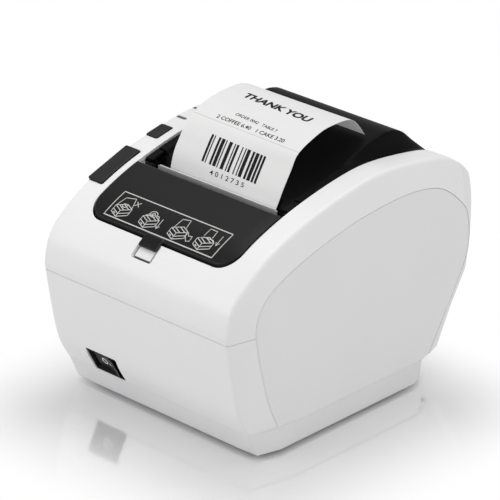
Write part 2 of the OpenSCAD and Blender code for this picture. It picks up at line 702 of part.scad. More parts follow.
module cutter_frame() {
    top = blade_z - 0.2;
    y0 = cutter_axis[0] - 14.5;
    y1 = nip_y - 5.2;
    color("gray") difference() {
        union() {
            block([-frame_x, frame_x], [y0, y1], [top - 1.2, top]);
            block([-frame_x, frame_x], [y0 - 1.2, y0], [top - 6, top]);
            for (s = [-1, 1]) {
                x = s > 0 ? [frame_x - 1.2, frame_x] : [-frame_x, -frame_x + 1.2];
                block(x, [y0 + 4, y1], [top, top + 1.6]);
                block(x, [y0, y0 + 9], [top - 12, top]);
            }
            block([-paper_w / 2 + 5, -paper_w / 2 + 6.5], [y0, cutter_axis[0] + 2.6],
                [cutter_motor_axis[1] - cutter_motor_r, top]);
        }
        block([-paper_w / 2 - 1.2, -paper_w / 2 + 5], [y0, y1 + 1], [top - 2, top + 1]);
        rod(cutter_axis, pin_r + run_fit, -paper_w / 2 + 3, -paper_w / 2 + 8);
        rod(cutter_motor_axis, 1.2, -paper_w / 2 + 3, -paper_w / 2 + 8);
    }
}
rack_x = [-paper_w / 2, -paper_w / 2 + 3.5];
module moving_blade() {
    x = frame_x - 1.5;
    back = cutter_axis[0] - 13.5;
    edge = nip_y - 2.2;
    pitch = PI * gear_m;
    pitch_z = cutter_axis[1] + gear_m * cutter_teeth / 2;
    color("silver") {
        translate([0, 0, blade_z]) linear_extrude(blade_t) polygon([
            [-x, back], [x, back], [x, edge], [paper_w / 4, edge - 1.2], [0, edge - 4], [-paper_w / 4, edge - 1.2],
            [-x, edge]
        ]);
        for (k = [-7:0]) across(rack_x[0], rack_x[1]) translate([cutter_axis[0] + k * pitch, pitch_z]) polygon([
            [-0.27 * pitch, blade_z - pitch_z + 0.1], [-0.12 * pitch, -0.85 * gear_m], [0.12 * pitch, -0.85 * gear_m],
            [0.27 * pitch, blade_z - pitch_z + 0.1]
        ]);
    }
}
module cutter_pinion() {
    color("ivory") {
        gear(cutter_axis, cutter_teeth, cutter_turn, rack_x[0] - 0.2, rack_x[1], pin_r);
        rod(cutter_axis, pin_r, -gear_x - gear_w, -paper_w / 2 + 6.8);
    }
}
module cutter_thumb_wheel() {
    color("seagreen") across(-gear_x - gear_w, -gear_x + 0.5) translate(cutter_axis) difference() {
        circle(r = knob_r, $fn = 48);
        for (k = [0:15]) rotate(k * 22.5) translate([knob_r + 0.5, 0]) circle(r = 1, $fn = 16);
        circle(r = pin_r, $fn = 48);
    }
}
module cutter_motor() {
    x0 = -paper_w / 2 + 6.5;
    color("gray") {
        rod(cutter_motor_axis, cutter_motor_r, x0, x0 + cutter_motor_len);
        rod(cutter_motor_axis, 2.5, x0 + cutter_motor_len, x0 + cutter_motor_len + 2);
    }
}
module cutter_motor_gear() {
    color("gold") {
        gear(cutter_motor_axis, cutter_motor_teeth, cutter_motor_turn, rack_x[0] - 0.2, rack_x[1], 1);
        rod(cutter_motor_axis, 1, rack_x[0] - 0.2, -paper_w / 2 + 6.4);
    }
}
module tear_bar() {
    y = [nip_y - 4.8, nip_y - 4];
    z = [blade_z + 1.6, blade_z + 8.4];
    bar_hw = frame_x + frame_t;
    edge_hw = paper_w / 2 + 4;
    points = 57;
    pitch = 2 * edge_hw / points;
    edge = [for (k = [0:points - 1]) [(k + 0.5) * pitch - edge_hw, z[1] - (k % 2) * 0.7]];
    color("silver") {
        block([-bar_hw, bar_hw], y, [z[0], z[1] - 0.8]);
        translate([0, y[1], 0]) rotate([90, 0, 0]) linear_extrude(y[1] - y[0])
            polygon(concat([[-edge_hw, z[1] - 1]], edge, [[edge_hw, z[1] - 1]]));
        for (s = [-1, 1])
            block(s > 0 ? [frame_x, bar_hw] : [-bar_hw, -frame_x], y, [blade_z - 0.2, z[0]]);
    }
}

module latch_lever() {
    pad = latch_axis + [-14, 8];
    color("darkgray") {
        across(-lever_x - lever_t, -lever_x) difference() {
            union() {
                translate(latch_axis) circle(r = 4, $fn = 48);
                polygon([
                    latch_axis + [3.6, 1.6], platen + [-4.6, 1], platen + [-3.1, 4.6], platen + [-6.4, 5],
                    platen + [-10, -1], latch_axis + [-3.4, 2]
                ]);
                polygon([
                    latch_axis + [0, 3.9], pad + [3.8, 0], pad + [-3.5, 0], pad + [-3.5, -1.8], pad + [2, -2.6],
                    latch_axis + [-3.8, -1]
                ]);
            }
            translate(latch_axis) circle(r = pin_r + run_fit, $fn = 48);
        }
        block([shoulder_x - 1.9, -lever_x - lever_t + 0.1], [pad[0] - 3.5, pad[0] + 3.8], [pad[1] - 1.8, pad[1]]);
    }
}
module open_button() {
    color(black) on_top(shoulder_x, open_button_y, 0) {
        translate([0, 0, -button_t]) rounded_plate(open_button_w, open_button_len, 1, button_t + 0.6);
        translate([0, stem_y, -stem_depth]) cylinder(h = stem_depth, r = 2.2, $fn = 32);
    }
}
module open_button_spring() {
    color("gray") on_top(shoulder_x, open_button_y, guide_depth) translate([0.8, 7, 0])
        spring_sleeve(2.6, 0.8, guide_depth - button_t - open_button_travel - 0.2);
}
module feed_button() {
    depth = height_at(top_curve, feed_button_y) - button_board_z - board_t - 4.4;
    color(black) on_top(shoulder_x, feed_button_y, 0) {
        translate([0, 0, -button_t]) rounded_plate(feed_button_w, feed_button_len, 1, button_t + 0.5);
        translate([0, 0, -depth]) cylinder(h = depth, r = 1.6, $fn = 32);
    }
}
module indicator_lenses() {
    color([0.2, 0.2, 0.22]) for (y = lens_y) on_top(shoulder_x, y, 3) rounded_plate(lens_w, lens_l, 0.8, 3.05);
}
module button_board() {
    x = [-crease_x + wall + 0.6, -opening_hw - 2];
    color("green") {
        block(x, [feed_button_y - 10, lens_y[2] + 10], [button_board_z, button_board_z + board_t]);
        block([shoulder_x - 1.8, shoulder_x + 3.2], [feed_button_y - 1, feed_button_y + 5],
            [button_board_z + board_t, button_board_z + board_t + 3]);
        for (y = lens_y) block([shoulder_x - 1.8, shoulder_x + 2.2], [y - 0.2, y + 1.6],
            [button_board_z + board_t, button_board_z + board_t + 2]);
    }
}

module switch_bezel() {
    color([0.08, 0.08, 0.08]) on_front() difference() {
        translate([0, 0, -9]) rounded_plate(bezel_w, bezel_h, 1, 8.7);
        translate([0, 0, -10]) rounded_plate(rocker_w + 1.6, rocker_h + 0.8, 0.4, 12);
        translate([0, 0, rocker_pivot]) rotate([90, 0, 0])
            cylinder(h = rocker_h + 3, r = 1 + run_fit, center = true, $fn = 48);
    }
}
module power_rocker() {
    hw = rocker_w / 2;
    color([0.1, 0.1, 0.1]) on_front() translate([0, 0, rocker_pivot]) rotate([0, -rocker_swing / 2, 0]) {
        rotate([90, 0, 0]) linear_extrude(rocker_h, center = true) polygon([
            [-hw, 0.6], [-hw, 4.6], [0, 3], [hw, 4.6], [hw, 0.6], [4, -2.2], [-4, -2.2]
        ]);
        rotate([90, 0, 0]) cylinder(h = rocker_h + 2.6, r = 1, center = true, $fn = 48);
    }
}
module switch_body() {
    color([0.1, 0.1, 0.1]) on_front() translate([0, 0, -19]) {
        rounded_plate(bezel_w - 3, bezel_h - 2.4, 0.6, 10);
        for (x = [-5, 5]) translate([x - 2.4, -0.4, -6]) cube([4.8, 0.8, 7]);
    }
}

module paper_bin() {
    top_z = bin_center[1] + 8.5;
    color(black) {
        across(-bin_side_x[1], bin_side_x[1])
            polygon(concat(arc(bin_center, bin_r, 180, 360, 32),
                arc(bin_center, bin_r + bin_wall, 360, 180, 32)));
        difference() {
            for (s = [-1, 1])
                across(s > 0 ? bin_side_x[0] : -bin_side_x[1], s > 0 ? bin_side_x[1] : -bin_side_x[0]) {
                polygon(concat(arc(bin_center, bin_r + bin_wall, 180, 360, 32),
                    [[bin_y[1], top_z], [bin_y[0], top_z]]));
                translate(hinge) circle(r = ear_r, $fn = 48);
                polygon([[bin_y[1] - 14, top_z - 2], [bin_y[1], top_z - 9], hinge + [3.6, -2], hinge + [-2.4, 3.4]]);
            }
            rod(hinge, hinge_pin_r, -half_w, half_w);
        }
        for (p = bin_posts) difference() {
            post(p, post_r, bin_foot_z, bin_bottom_z + 13.5);
            block([-bin_side_x[0], bin_side_x[0]], [front_y, rear_y], [0, case_h]);
        }
    }
}

module paper_roll() {
    color("white") difference() {
        rod(roll_center, roll_r, -paper_w / 2, paper_w / 2);
        rod(roll_center, core_r, -half_w, half_w);
    }
}
module roll_core() {
    color("burlywood") difference() {
        rod(roll_center, core_r, -paper_w / 2, paper_w / 2);
        rod(roll_center, core_r - core_wall, -half_w, half_w);
    }
}
// Where the paper turns up to the platen, and where it leaves the roll
web_y = nip_y - 0.1 - paper_t;
web_foot = [web_y + 3, platen[1] - 8.4];
web_run = roll_center - web_foot;
web_r = roll_r + 0.4;
web_slope = atan2(web_run[1], web_run[0]) + asin(web_r / norm(web_run));
web_end = web_foot + sqrt(web_run * web_run - web_r * web_r) * [cos(web_slope), sin(web_slope)];
module paper_web() {
    line = concat([[web_y, blade_z - 1.7], [web_y, platen[1] - 5]],
        [[web_y + 0.3, platen[1] - 6.6], [web_y + 1.2, platen[1] - 7.8]], [web_foot + [0.4, 0.1], web_end]);
    color("white") across(-paper_w / 2, paper_w / 2) polygon(band(line, 0, -paper_t));
}
receipt_curve = smooth_curve([
    [nip_y - 1.2, blade_z + 2], [nip_y - 1, blade_z + 6.5], [nip_y + 1.2, blade_z + 12],
    [nip_y + 3.9, case_h - 2.5], [nip_y + 8, case_h + 4], [nip_y + 16.9, case_h + 11.8],
    [nip_y + 29.2, case_h + 17.2], [nip_y + 41.2, case_h + 20.2], [nip_y + 51.2, case_h + 19.9],
    [nip_y + 59.2, case_h + 17.2], [nip_y + 65.2, case_h + 11.2], [nip_y + 67.2, case_h + 7.6]
], steps);
module receipt() {
    color("white") across(-paper_w / 2, paper_w / 2) polygon(band(receipt_curve, 0, paper_t));
}

module main_board() {
    color("green") block([-32, 32], [front_y + 62, bay_y - 2.2], [board_z, port_floor]);
}
module board_parts() {
    color([0.15, 0.15, 0.16]) {
        block([-8, 6], [front_y + 92, front_y + 106], [port_floor, port_floor + 1.6]);
        block([12, 22], [front_y + 90, front_y + 98], [port_floor, port_floor + 1.4]);
        block([-28, -16], [front_y + 84, front_y + 92], [port_floor, port_floor + 5]);
        block([-26, 26], [front_y + 70, front_y + 76], [port_floor, port_floor + 6]);
        for (x = [-27, -17]) post([x, front_y + 116], 4, port_floor, port_floor + 12);
        post([27, front_y + 112], 3.2, port_floor, port_floor + 9);
    }
}

// Sockets across the back: middle, width, height, and the size of each mouth
inlet_x = -24;
usb_x = -8;
network_x = 9;
drawer_x = 26;
inlet_size = [13, 12];
usb_size = [12, 11];
network_size = [16, 13.4];
drawer_size = [13.4, 12];
usb_mouth = [8.6, 7.8];
network_mouth = [11.8, 8.2];
drawer_mouth = [9.8, 7];
inlet_mouth_r = 4.6;
port_depth = 16;
mouth_depth = 12;
module rear_panel() {
    cut = moved(lower_back, -0.6);
    side = [for (p = cut) if (p[1] > base_seam_z - 1 && p[1] < bay_top) p];
    color(black) {
        difference() {
            block([-bay_hw - wall, bay_hw + wall], [bay_y - 2, bay_y], [base_seam_z, bay_top + wall]);
            port_hole(inlet_x, inlet_size);
            port_hole(usb_x, usb_size);
            port_hole(network_x, network_size);
            port_hole(drawer_x, drawer_size);
        }
        block([-bay_hw - wall, bay_hw + wall], [bay_y - 1, side[len(side) - 1][0] - 1.5], [bay_top, bay_top + wall]);
        for (s = [-1, 1]) across(s > 0 ? bay_hw : -bay_hw - wall, s > 0 ? bay_hw + wall : -bay_hw)
            polygon(concat([[bay_y - 1, base_seam_z], [side[0][0] - 2, base_seam_z]], [for (p = side) p - [1.5, 0]],
                [[side[len(side) - 1][0] - 1.5, bay_top + 1], [bay_y - 1, bay_top + 1]]));
    }
}
module port_hole(x, size) {
    block([x - size[0] / 2, x + size[0] / 2], [bay_y - 3, bay_y + 1], [port_floor, port_floor + size[1]]);
}
module port(x, size, mouth) {
    z = port_floor + size[1] / 2;
    difference() {
        block([x - size[0] / 2, x + size[0] / 2], [bay_y - port_depth, bay_y + 0.4],
            [port_floor, port_floor + size[1]]);
        block([x - mouth[0] / 2, x + mouth[0] / 2], [bay_y - mouth_depth, bay_y + 1],
            [z - mouth[1] / 2, z + mouth[1] / 2]);
    }
}
module power_inlet() {
    z = port_floor + inlet_size[1] / 2;
    color([0.1, 0.1, 0.1]) difference() {
        block([inlet_x - inlet_size[0] / 2, inlet_x + inlet_size[0] / 2], [bay_y - port_depth, bay_y + 0.4],
            [port_floor, port_floor + inlet_size[1]]);
        translate([inlet_x, bay_y + 1, z]) rotate([90, 0, 0])
            cylinder(h = mouth_depth + 1, r = inlet_mouth_r, $fn = 48);
    }
}
module usb_port() {
    color("silver") port(usb_x, usb_size, usb_mouth);
}
module network_port() {
    color("silver") port(network_x, network_size, network_mouth);
}
module drawer_port() {
    color([0.1, 0.1, 0.1]) port(drawer_x, drawer_size, drawer_mouth);
}

base_tray();
rubber_feet();
lower_case();
upper_case();
side_panel_left();
side_panel_right();
front_cover();
paper_cover();
cover_hinge_pin();
hinge_springs();
platen_bracket();
platen_bushes();
platen_shaft();
platen_roller();
platen_gear();
fixed_blade();
mechanism_frame();
idler_gear();
feed_motor();
motor_pinion();
print_head();
heat_sink();
head_springs();
cutter_frame();
moving_blade();
cutter_pinion();
cutter_thumb_wheel();
cutter_motor();
cutter_motor_gear();
tear_bar();
latch_lever();
open_button();
open_button_spring();
feed_button();
indicator_lenses();
button_board();
switch_bezel();
power_rocker();
switch_body();
paper_bin();
paper_roll();
roll_core();
paper_web();
receipt();
main_board();
board_parts();
rear_panel();
power_inlet();
usb_port();
network_port();
drawer_port();
case_screws();
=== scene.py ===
"""A desktop receipt printer for 3 inch rolls, dressed piece by piece in the order it is put together."""
import math
import bmesh
import bpy
import numpy as np
from mathutils import Matrix, Vector
from mathutils.geometry import delaunay_2d_cdt


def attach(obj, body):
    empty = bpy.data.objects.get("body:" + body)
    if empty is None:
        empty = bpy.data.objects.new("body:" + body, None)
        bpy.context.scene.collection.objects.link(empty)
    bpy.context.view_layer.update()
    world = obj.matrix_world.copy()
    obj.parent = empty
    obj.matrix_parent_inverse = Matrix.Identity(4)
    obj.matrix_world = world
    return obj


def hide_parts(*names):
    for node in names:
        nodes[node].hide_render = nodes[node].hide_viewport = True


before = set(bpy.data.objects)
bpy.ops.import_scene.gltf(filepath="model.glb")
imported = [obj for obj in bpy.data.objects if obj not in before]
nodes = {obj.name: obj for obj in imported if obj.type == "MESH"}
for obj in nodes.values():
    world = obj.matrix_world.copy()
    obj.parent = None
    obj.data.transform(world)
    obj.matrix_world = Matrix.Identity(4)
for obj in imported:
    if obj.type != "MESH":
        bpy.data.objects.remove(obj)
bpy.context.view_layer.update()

# --- Lower and upper case --------------------------------------------------------------------------------
# The outer shell is two injection mouldings in white styrene blend with a fine satin spark texture.
# They meet in a level seam at mid height and clip together, with the covers' opening cut out of the top.

FRONT, REAR, CREST = -97.0, 97.0, 131.0
TRAY_SEAM, CASE_SEAM = 16.0, 72.0
WALL = 2.4
CREASE_X, PANEL_X = 67.0, 71.0
PANEL_CROWN, PANEL_GAP, SEAM_GAP = 2.0, 0.16, 0.16
BACK_CORNER, CREASE_ROUND = 12.0, 2.4
LOW_FRONT, LOW_REAR = FRONT + 15.5, REAR - 32.0


def linear(colour):
    """A screen colour of three numbers up to 255, as the light it stands for."""
    return tuple((c / 12.92 if c <= 0.04045 else ((c + 0.055) / 1.055) ** 2.4)
                 for c in (v / 255 for v in colour)) + (1.0,)


class Wire:
    """A socket in a finish. Sums written on wires and numbers become nodes."""

    def __init__(self, finish, socket):
        self.finish = finish
        self.socket = socket

    def __add__(self, other):
        return self.finish.sum("ADD", self, other)

    def __radd__(self, other):
        return self.finish.sum("ADD", other, self)

    def __sub__(self, other):
        return self.finish.sum("SUBTRACT", self, other)

    def __rsub__(self, other):
        return self.finish.sum("SUBTRACT", other, self)

    def __mul__(self, other):
        return self.finish.sum("MULTIPLY", self, other)

    def __rmul__(self, other):
        return self.finish.sum("MULTIPLY", other, self)


class Finish:
    """A material: one principled shader and the nodes that feed it."""

    def __init__(self, name):
        self.material = bpy.data.materials.new(name)
        self.material.use_nodes = True
        self.tree = self.material.node_tree
        self.tree.nodes.clear()
        self.end = self.tree.nodes.new("ShaderNodeOutputMaterial")
        self.shader = self.tree.nodes.new("ShaderNodeBsdfPrincipled")
        self.tree.links.new(self.shader.outputs[0], self.end.inputs[0])

    def join(self, value, socket):
        if isinstance(value, Wire):
            self.tree.links.new(value.socket, socket)
        else:
            socket.default_value = value

    def node(self, kind, settings, sockets, out=0):
        """Any node: its type, settings, values or wires of its sockets, and which output is wanted."""
        made = self.tree.nodes.new("ShaderNode" + kind)
        for name, value in settings.items():
            if name == "stops":
                for k, (place, colour) in enumerate(value):
                    stop = made.color_ramp.elements[k] if k < 2 else made.color_ramp.elements.new(place)
                    stop.position = place
                    stop.color = colour
            else:
                setattr(made, name, value)
        for name, value in sockets.items():
            self.join(value, made.inputs[name])
        return Wire(self, made.outputs[out])

    def sum(self, operation, a, b):
        return self.node("Math", {"operation": operation}, {0: a, 1: b})

    def paint(self, sockets):
        for name, value in sockets.items():
            self.join(value, self.shader.inputs[name])

    def here(self):
        """The place on the piece, in metres."""
        return self.node("TexCoord", {}, {}, "Object")

    def grain(self, size, detail=2.0, rough=0.5, stretch=None):
        """Soft noise from 0 to 1 whose blots are about size millimetres across."""
        at = self.here()
        if stretch:
            at = self.node("Mapping", {}, {"Vector": at, "Scale": stretch})
        return self.node("TexNoise", {"noise_dimensions": "3D"}, {
            "Vector": at, "Scale": 1000.0 / size, "Detail": detail, "Roughness": rough}, "Fac")

    def steps(self, factor, low, high):
        """Factor spread so that low becomes 0 and high becomes 1, and held there."""
        return self.node("MapRange", {"clamp": True}, {0: factor, 1: low, 2: high, 3: 0.0, 4: 1.0})

    def blend(self, factor, a, b):
        """From colour a to colour b."""
        return self.node("Mix", {"data_type": "RGBA"}, {0: factor, 6: a, 7: b}, 2)

    def bump(self, height, strength, depth, over=None):
        """Normal of a surface with height in depth millimetres on it."""
        sockets = {"Height": height, "Strength": strength, "Distance": depth / 1000}
        if over:
            sockets["Normal"] = over
        return self.node("Bump", {}, sockets)

    def soft_edge(self, radius):
        """Normal with edges rounded by radius millimetres, as a mould leaves them."""
        return self.node("Bevel", {"samples": 4}, {"Radius": radius / 1000})


def moulded(name, colour, rough, texture=0.35, relief=0.02, edge=0.35, vary=0.02, clear=0.0):
    """Moulded plastic: a fine spark texture, slow drift of tone and gloss, and edges eased by the mould."""
    finish = Finish(name)
    slow = finish.grain(38, 3.0)
    fine = finish.grain(texture, 2.0, 0.6)
    base = np.array(linear(colour)[:3])
    darker, lighter = base * (1 - vary), np.minimum(base * (1 + vary), 1.0)
    finish.paint({
        "Base Color": finish.blend(slow, (*darker, 1.0), (*lighter, 1.0)),
        "Roughness": rough + (slow - 0.5) * 0.08 + (fine - 0.5) * 0.06,
        "Normal": finish.bump(fine, 0.6, relief, finish.soft_edge(edge)),
        "IOR": 1.5, "Coat Weight": clear, "Coat Roughness": 0.12})
    return finish


def smooth(points, steps):
    """An open curve through points with that many steps to a span."""
    p = np.array(points, float)
    rows = []
    for i in range(len(p) - 1):
        a, b, c, d = p[max(i - 1, 0)], p[i], p[i + 1], p[min(i + 2, len(p) - 1)]
        for t in np.arange(steps) / steps:
            rows.append(0.5 * (2 * b + (c - a) * t + (2 * a - 5 * b + 4 * c - d) * t * t
                               + (3 * b - a - 3 * c + d) * t ** 3))
    rows.append(p[-1])
    return np.array(rows)


def heading(path, closed=False):
    """Unit direction of travel at each point of a path."""
    ahead = np.roll(path, -1, 0) - np.roll(path, 1, 0)
    if not closed:
        ahead[0], ahead[-1] = path[1] - path[0], path[-1] - path[-2]
    return ahead / np.maximum(np.linalg.norm(ahead, axis=1), 1e-9)[:, None]


def moved(curve, distance):
    """The curve moved to the right of its direction of travel."""
    ahead = heading(curve)
    return curve + distance * np.c_[ahead[:, 1], -ahead[:, 0]]


def convex(points):
    """The convex outline round points, anticlockwise, from its last low corner."""
    rows = sorted(set((round(float(y), 5), round(float(z), 5)) for y, z in points))

    def half(rows):
        chain = []
        for p in rows:
            while len(chain) > 1 and ((chain[-1][0] - chain[-2][0]) * (p[1] - chain[-2][1])
                                      - (chain[-1][1] - chain[-2][1]) * (p[0] - chain[-2][0])) <= 1e-9:
                chain.pop()
            chain.append(p)
        return chain[:-1]

    loop = np.array(half(rows) + half(rows[::-1]))
    low = loop[:, 1] < loop[:, 1].min() + 1e-4
    start = max(np.nonzero(low)[0], key=lambda k: loop[k, 0])
    return np.roll(loop, -start, 0)


class Outline:
    """A convex outline in Y and Z that gives its point facing any direction."""

    def __init__(self, points):
        loop = convex(points)
        side = np.roll(loop, -1, 0) - loop
        facing = np.unwrap(np.arctan2(-side[:, 0], side[:, 1]))
        facing -= 2 * math.pi * round((facing[-1] - 1.5 * math.pi) / (2 * math.pi))
        before = np.r_[facing[-1] - 2 * math.pi, facing[:-1]]
        self.angles, self.points = [], []
        for point, low, high in zip(loop, before, facing):
            for angle in ([low + 1e-4, high - 1e-4] if high - low > 0.2 else [(low + high) / 2]):
                self.angles.append(angle)
                self.points.append(point)
        self.points = np.array(self.points)

    def at(self, angles):
        return np.c_[[np.interp(angles, self.angles, self.points[:, k]) for k in (0, 1)]].T


lower_front = smooth([(LOW_FRONT, TRAY_SEAM), (FRONT + 8.7, TRAY_SEAM + 12.6), (FRONT + 4.8, TRAY_SEAM + 29),
                      (FRONT + 2.2, CASE_SEAM - 12), (FRONT + 0.7, CASE_SEAM)], 7)
lower_back = smooth([(LOW_REAR, TRAY_SEAM), (REAR - 27, TRAY_SEAM + 9.5), (REAR - 18, TRAY_SEAM + 23),
                     (REAR - 8.7, CASE_SEAM - 18), (REAR - 1.2, CASE_SEAM)], 7)
upper_curve = smooth([
    (FRONT + 0.7, CASE_SEAM), (FRONT, CREST - 54), (FRONT + 3.4, CREST - 41.5), (FRONT + 12.5, CREST - 31.2),
    (FRONT + 32.5, CREST - 18.8), (FRONT + 60.6, CREST - 8.8), (FRONT + 96, CREST - 1.4), (REAR - 71, CREST),
    (REAR - 34, CREST - 5.2), (REAR - 19, CREST - 12.2), (REAR - 8.5, CREST - 22), (REAR - 2, CREST - 33.5),
    (REAR, CREST - 45), (REAR - 1.2, CASE_SEAM)], 8)
panel_curve = smooth([
    (FRONT + 33, TRAY_SEAM), (FRONT + 25, TRAY_SEAM + 20), (FRONT + 17.3, CASE_SEAM - 2),
    (FRONT + 19.4, CASE_SEAM + 12), (FRONT + 29, CREST - 37), (FRONT + 51, CREST - 28),
    (FRONT + 80, CREST - 20.6), (FRONT + 104, CREST - 17), (REAR - 61, CREST - 16), (REAR - 37, CREST - 21),
    (REAR - 19.3, CREST - 35), (REAR - 14.2, CREST - 46), (REAR - 14.2, CASE_SEAM - 4),
    (REAR - 23, CASE_SEAM - 22), (REAR - 40, TRAY_SEAM + 10), (REAR - 44, TRAY_SEAM)], 8)
side_outline = Outline(np.vstack([lower_front, upper_curve, lower_back]))
panel_outline = Outline(panel_curve)
pocket_curve = moved(panel_curve, -PANEL_GAP)
pocket_curve[[0, -1], 1] = TRAY_SEAM
pocket_outline = Outline(pocket_curve)
facing = np.unique(np.round(np.r_[side_outline.angles, panel_outline.angles], 5))
facing = facing[(facing >= -math.pi / 2) & (facing <= 1.5 * math.pi)]
top_rows = upper_curve[upper_curve[:, 1] > CREST - 40]


def top_height(y):
    """Height of the white top at y."""
    return np.interp(y, top_rows[:, 0], top_rows[:, 1])


def back_in(ring, depth):
    """A side outline with its back brought forward, for the rounded back corners."""
    limit = REAR - depth - np.maximum(0, (REAR - ring[:, 0]) * 0.35)
    return np.c_[np.minimum(ring[:, 0], limit), ring[:, 1]]


def at_x(x, ring):
    """A side outline set at that x."""
    return np.c_[np.full(len(ring), x), ring]


def linked(name, data):
    """A new object in the scene."""
    made = bpy.data.objects.new(name, data)
    bpy.context.scene.collection.objects.link(made)
    return made


def shape(name, points, faces):
    """A clean closed mesh object from points in millimetres, with its faces turned outwards."""
    mesh = bpy.data.meshes.new(name)
    mesh.from_pydata([tuple(p) for p in np.array(points, float) / 1000], [], faces)
    work = bmesh.new()
    work.from_mesh(mesh)
    bmesh.ops.remove_doubles(work, verts=work.verts, dist=2e-6)
    bmesh.ops.dissolve_degenerate(work, dist=1e-6, edges=work.edges)
    bmesh.ops.recalc_face_normals(work, faces=work.faces)
    work.to_mesh(mesh)
    work.free()
    return linked(name, mesh)


def bands(count, rings):
    """Faces between rings of count points each."""
    return [(a + j, a + (j + 1) % count, a + count + (j + 1) % count, a + count + j)
            for a in range(0, (rings - 1) * count, count) for j in range(count)]


def tube(rings):
    """Points and faces of a body lofted through closed rings of equal count, its two ends closed."""
    count, last = len(rings[0]), len(rings) * len(rings[0])
    ends = [tuple(range(count - 1, -1, -1)), tuple(range(last - count, last))]
    return np.vstack(rings), bands(count, len(rings)) + ends


def joined(parts):
    """Several bodies given as points and faces, made into one list of each."""
    points, faces, first = [], [], 0
    for p, f in parts:
        points.append(np.array(p, float))
        faces += [tuple(v + first for v in face) for face in f]
        first += len(p)
    return np.vstack(points), faces


def through(outline, x0, x1):
    """A body with that side outline from x0 to x1."""
    return tube([at_x(x, np.array(outline)) for x in sorted((x0, x1))])


def corners(x, y):
    """The corners of a rectangle, anticlockwise."""
    return np.array([(x[0], y[0]), (x[1], y[0]), (x[1], y[1]), (x[0], y[1])])


def block(x, y, z):
    """A plain block between two values of x, y and z."""
    return through(corners(y, z), *x)


def settle(piece):
    """Turns the piece's modifiers into its plain mesh."""
    evaluated = piece.evaluated_get(bpy.context.evaluated_depsgraph_get())
    mesh = bpy.data.meshes.new_from_object(evaluated)
    mesh.name = piece.name
    piece.modifiers.clear()
    piece.data = mesh
    return piece


def carve(piece, points, faces, operation="DIFFERENCE"):
    """Cuts a body out of the piece, or keeps what the two share."""
    tool = shape("cutter", points, faces)
    cut = piece.modifiers.new("cut", "BOOLEAN")
    cut.operation = operation
    cut.solver = "MANIFOLD"
    cut.object = tool
    settle(piece)
    bpy.data.objects.remove(tool)
    return piece


def done(piece, finish, body, stands_for=(), crease=32):
    """Gives a piece its finish, its smooth faces and the body that it rides on."""
    piece.data.materials.clear()
    piece.data.materials.append(finish.material)
    piece.data.shade_smooth()
    piece.data.set_sharp_from_angle(angle=math.radians(crease))
    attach(piece, body)
    if stands_for:
        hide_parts(*stands_for)
    return piece


def tilted(angle, place, axis="X"):
    """From a piece's own millimetres to the printer's: turned about an axis, then put in its place."""
    return Matrix.Translation(place) @ Matrix.Rotation(math.radians(angle), 4, axis)


def on_top(x, y):
    """Frame lying on the sloping top at x and y, with its own Z outwards."""
    lean = math.degrees(math.atan2(top_height(y + 3) - top_height(y - 3), 6))
    return tilted(lean, (x, y, float(top_height(y))))


def put(matrix, points):
    """The points taken through a matrix."""
    return np.array([tuple(matrix @ Vector(p)) for p in points])


def rounded(width, length, radius, steps=5, at=(0, 0)):
    """A rectangle with rounded corners, anticlockwise."""
    points = []
    for k, (sx, sy) in enumerate(((1, 1), (-1, 1), (-1, -1), (1, -1))):
        for t in np.linspace(0, math.pi / 2, steps + 1):
            turn = k * math.pi / 2 + t
            points.append((at[0] + sx * (width / 2 - radius) + radius * math.cos(turn),
                           at[1] + sy * (length / 2 - radius) + radius * math.sin(turn)))
    return np.array(points)


def set_at(matrix, body):
    """A body of points and faces taken through a matrix."""
    return put(matrix, body[0]), body[1]


def stacked(levels, matrix=Matrix.Identity(4)):
    """A closed body from outlines at heights: (outline, height) pairs of equal count, bottom to top."""
    return set_at(matrix, tube([np.c_[outline, np.full(len(outline), z)] for outline, z in levels]))


def prism(outline, z0, z1, matrix=Matrix.Identity(4)):
    """A closed body with that outline in its own X and Y."""
    return stacked([(outline, z0), (outline, z1)], matrix)


def both_sides(rings):
    """Rings from the middle out to the right, with their mirror images before them."""
    return [ring * (-1, 1, 1) for ring in reversed(rings[1:])] + rings


whole_ring = side_outline.at(facing)
panel_ring = panel_outline.at(facing)
pocket_ring = pocket_outline.at(facing)
FLAT_X = CREASE_X - BACK_CORNER


def round_corner(ring, radius, turns):
    """Side outlines round the back corner of that radius, one at each turn in degrees."""
    return [at_x(FLAT_X + radius * math.sin(turn), back_in(ring, radius * (1 - math.cos(turn))))
            for turn in np.radians(turns)]


stations = [at_x(x, whole_ring) for x in np.linspace(0, FLAT_X, 4)]
stations += round_corner(whole_ring, BACK_CORNER, (18, 34, 48, 58))
crease_ring = at_x(CREASE_X, back_in(whole_ring, BACK_CORNER))
POCKET_LIP, POCKET_DEPTH = 0.06, 2.6
edge_ring = at_x(PANEL_X - POCKET_LIP, pocket_ring)
slope = edge_ring - crease_ring
slope_length = np.linalg.norm(slope, axis=1)[:, None]
ease_end = crease_ring + slope * np.minimum(CREASE_ROUND / slope_length, 0.4)
ease_start = at_x(CREASE_X - CREASE_ROUND * 0.75, 0.25 * stations[-1][:, 1:] + 0.75 * crease_ring[:, 1:])
for t in (0.0, 0.2, 0.4, 0.6, 0.8, 1.0):
    stations.append((1 - t) ** 2 * ease_start + 2 * t * (1 - t) * crease_ring + t * t * ease_end)
stations += [edge_ring, at_x(PANEL_X - POCKET_DEPTH, pocket_ring)]
outward = np.c_[np.cos(facing), np.sin(facing)]
room_ring = whole_ring - WALL * outward
low_corner = whole_ring[:, 1] < TRAY_SEAM + 0.01
room_ring[low_corner, 1] = TRAY_SEAM - 6
room_ring[low_corner & (whole_ring[:, 0] < 0), 0] = LOW_FRONT + WALL
room_ring[low_corner & (whole_ring[:, 0] > 0), 0] = LOW_REAR - WALL
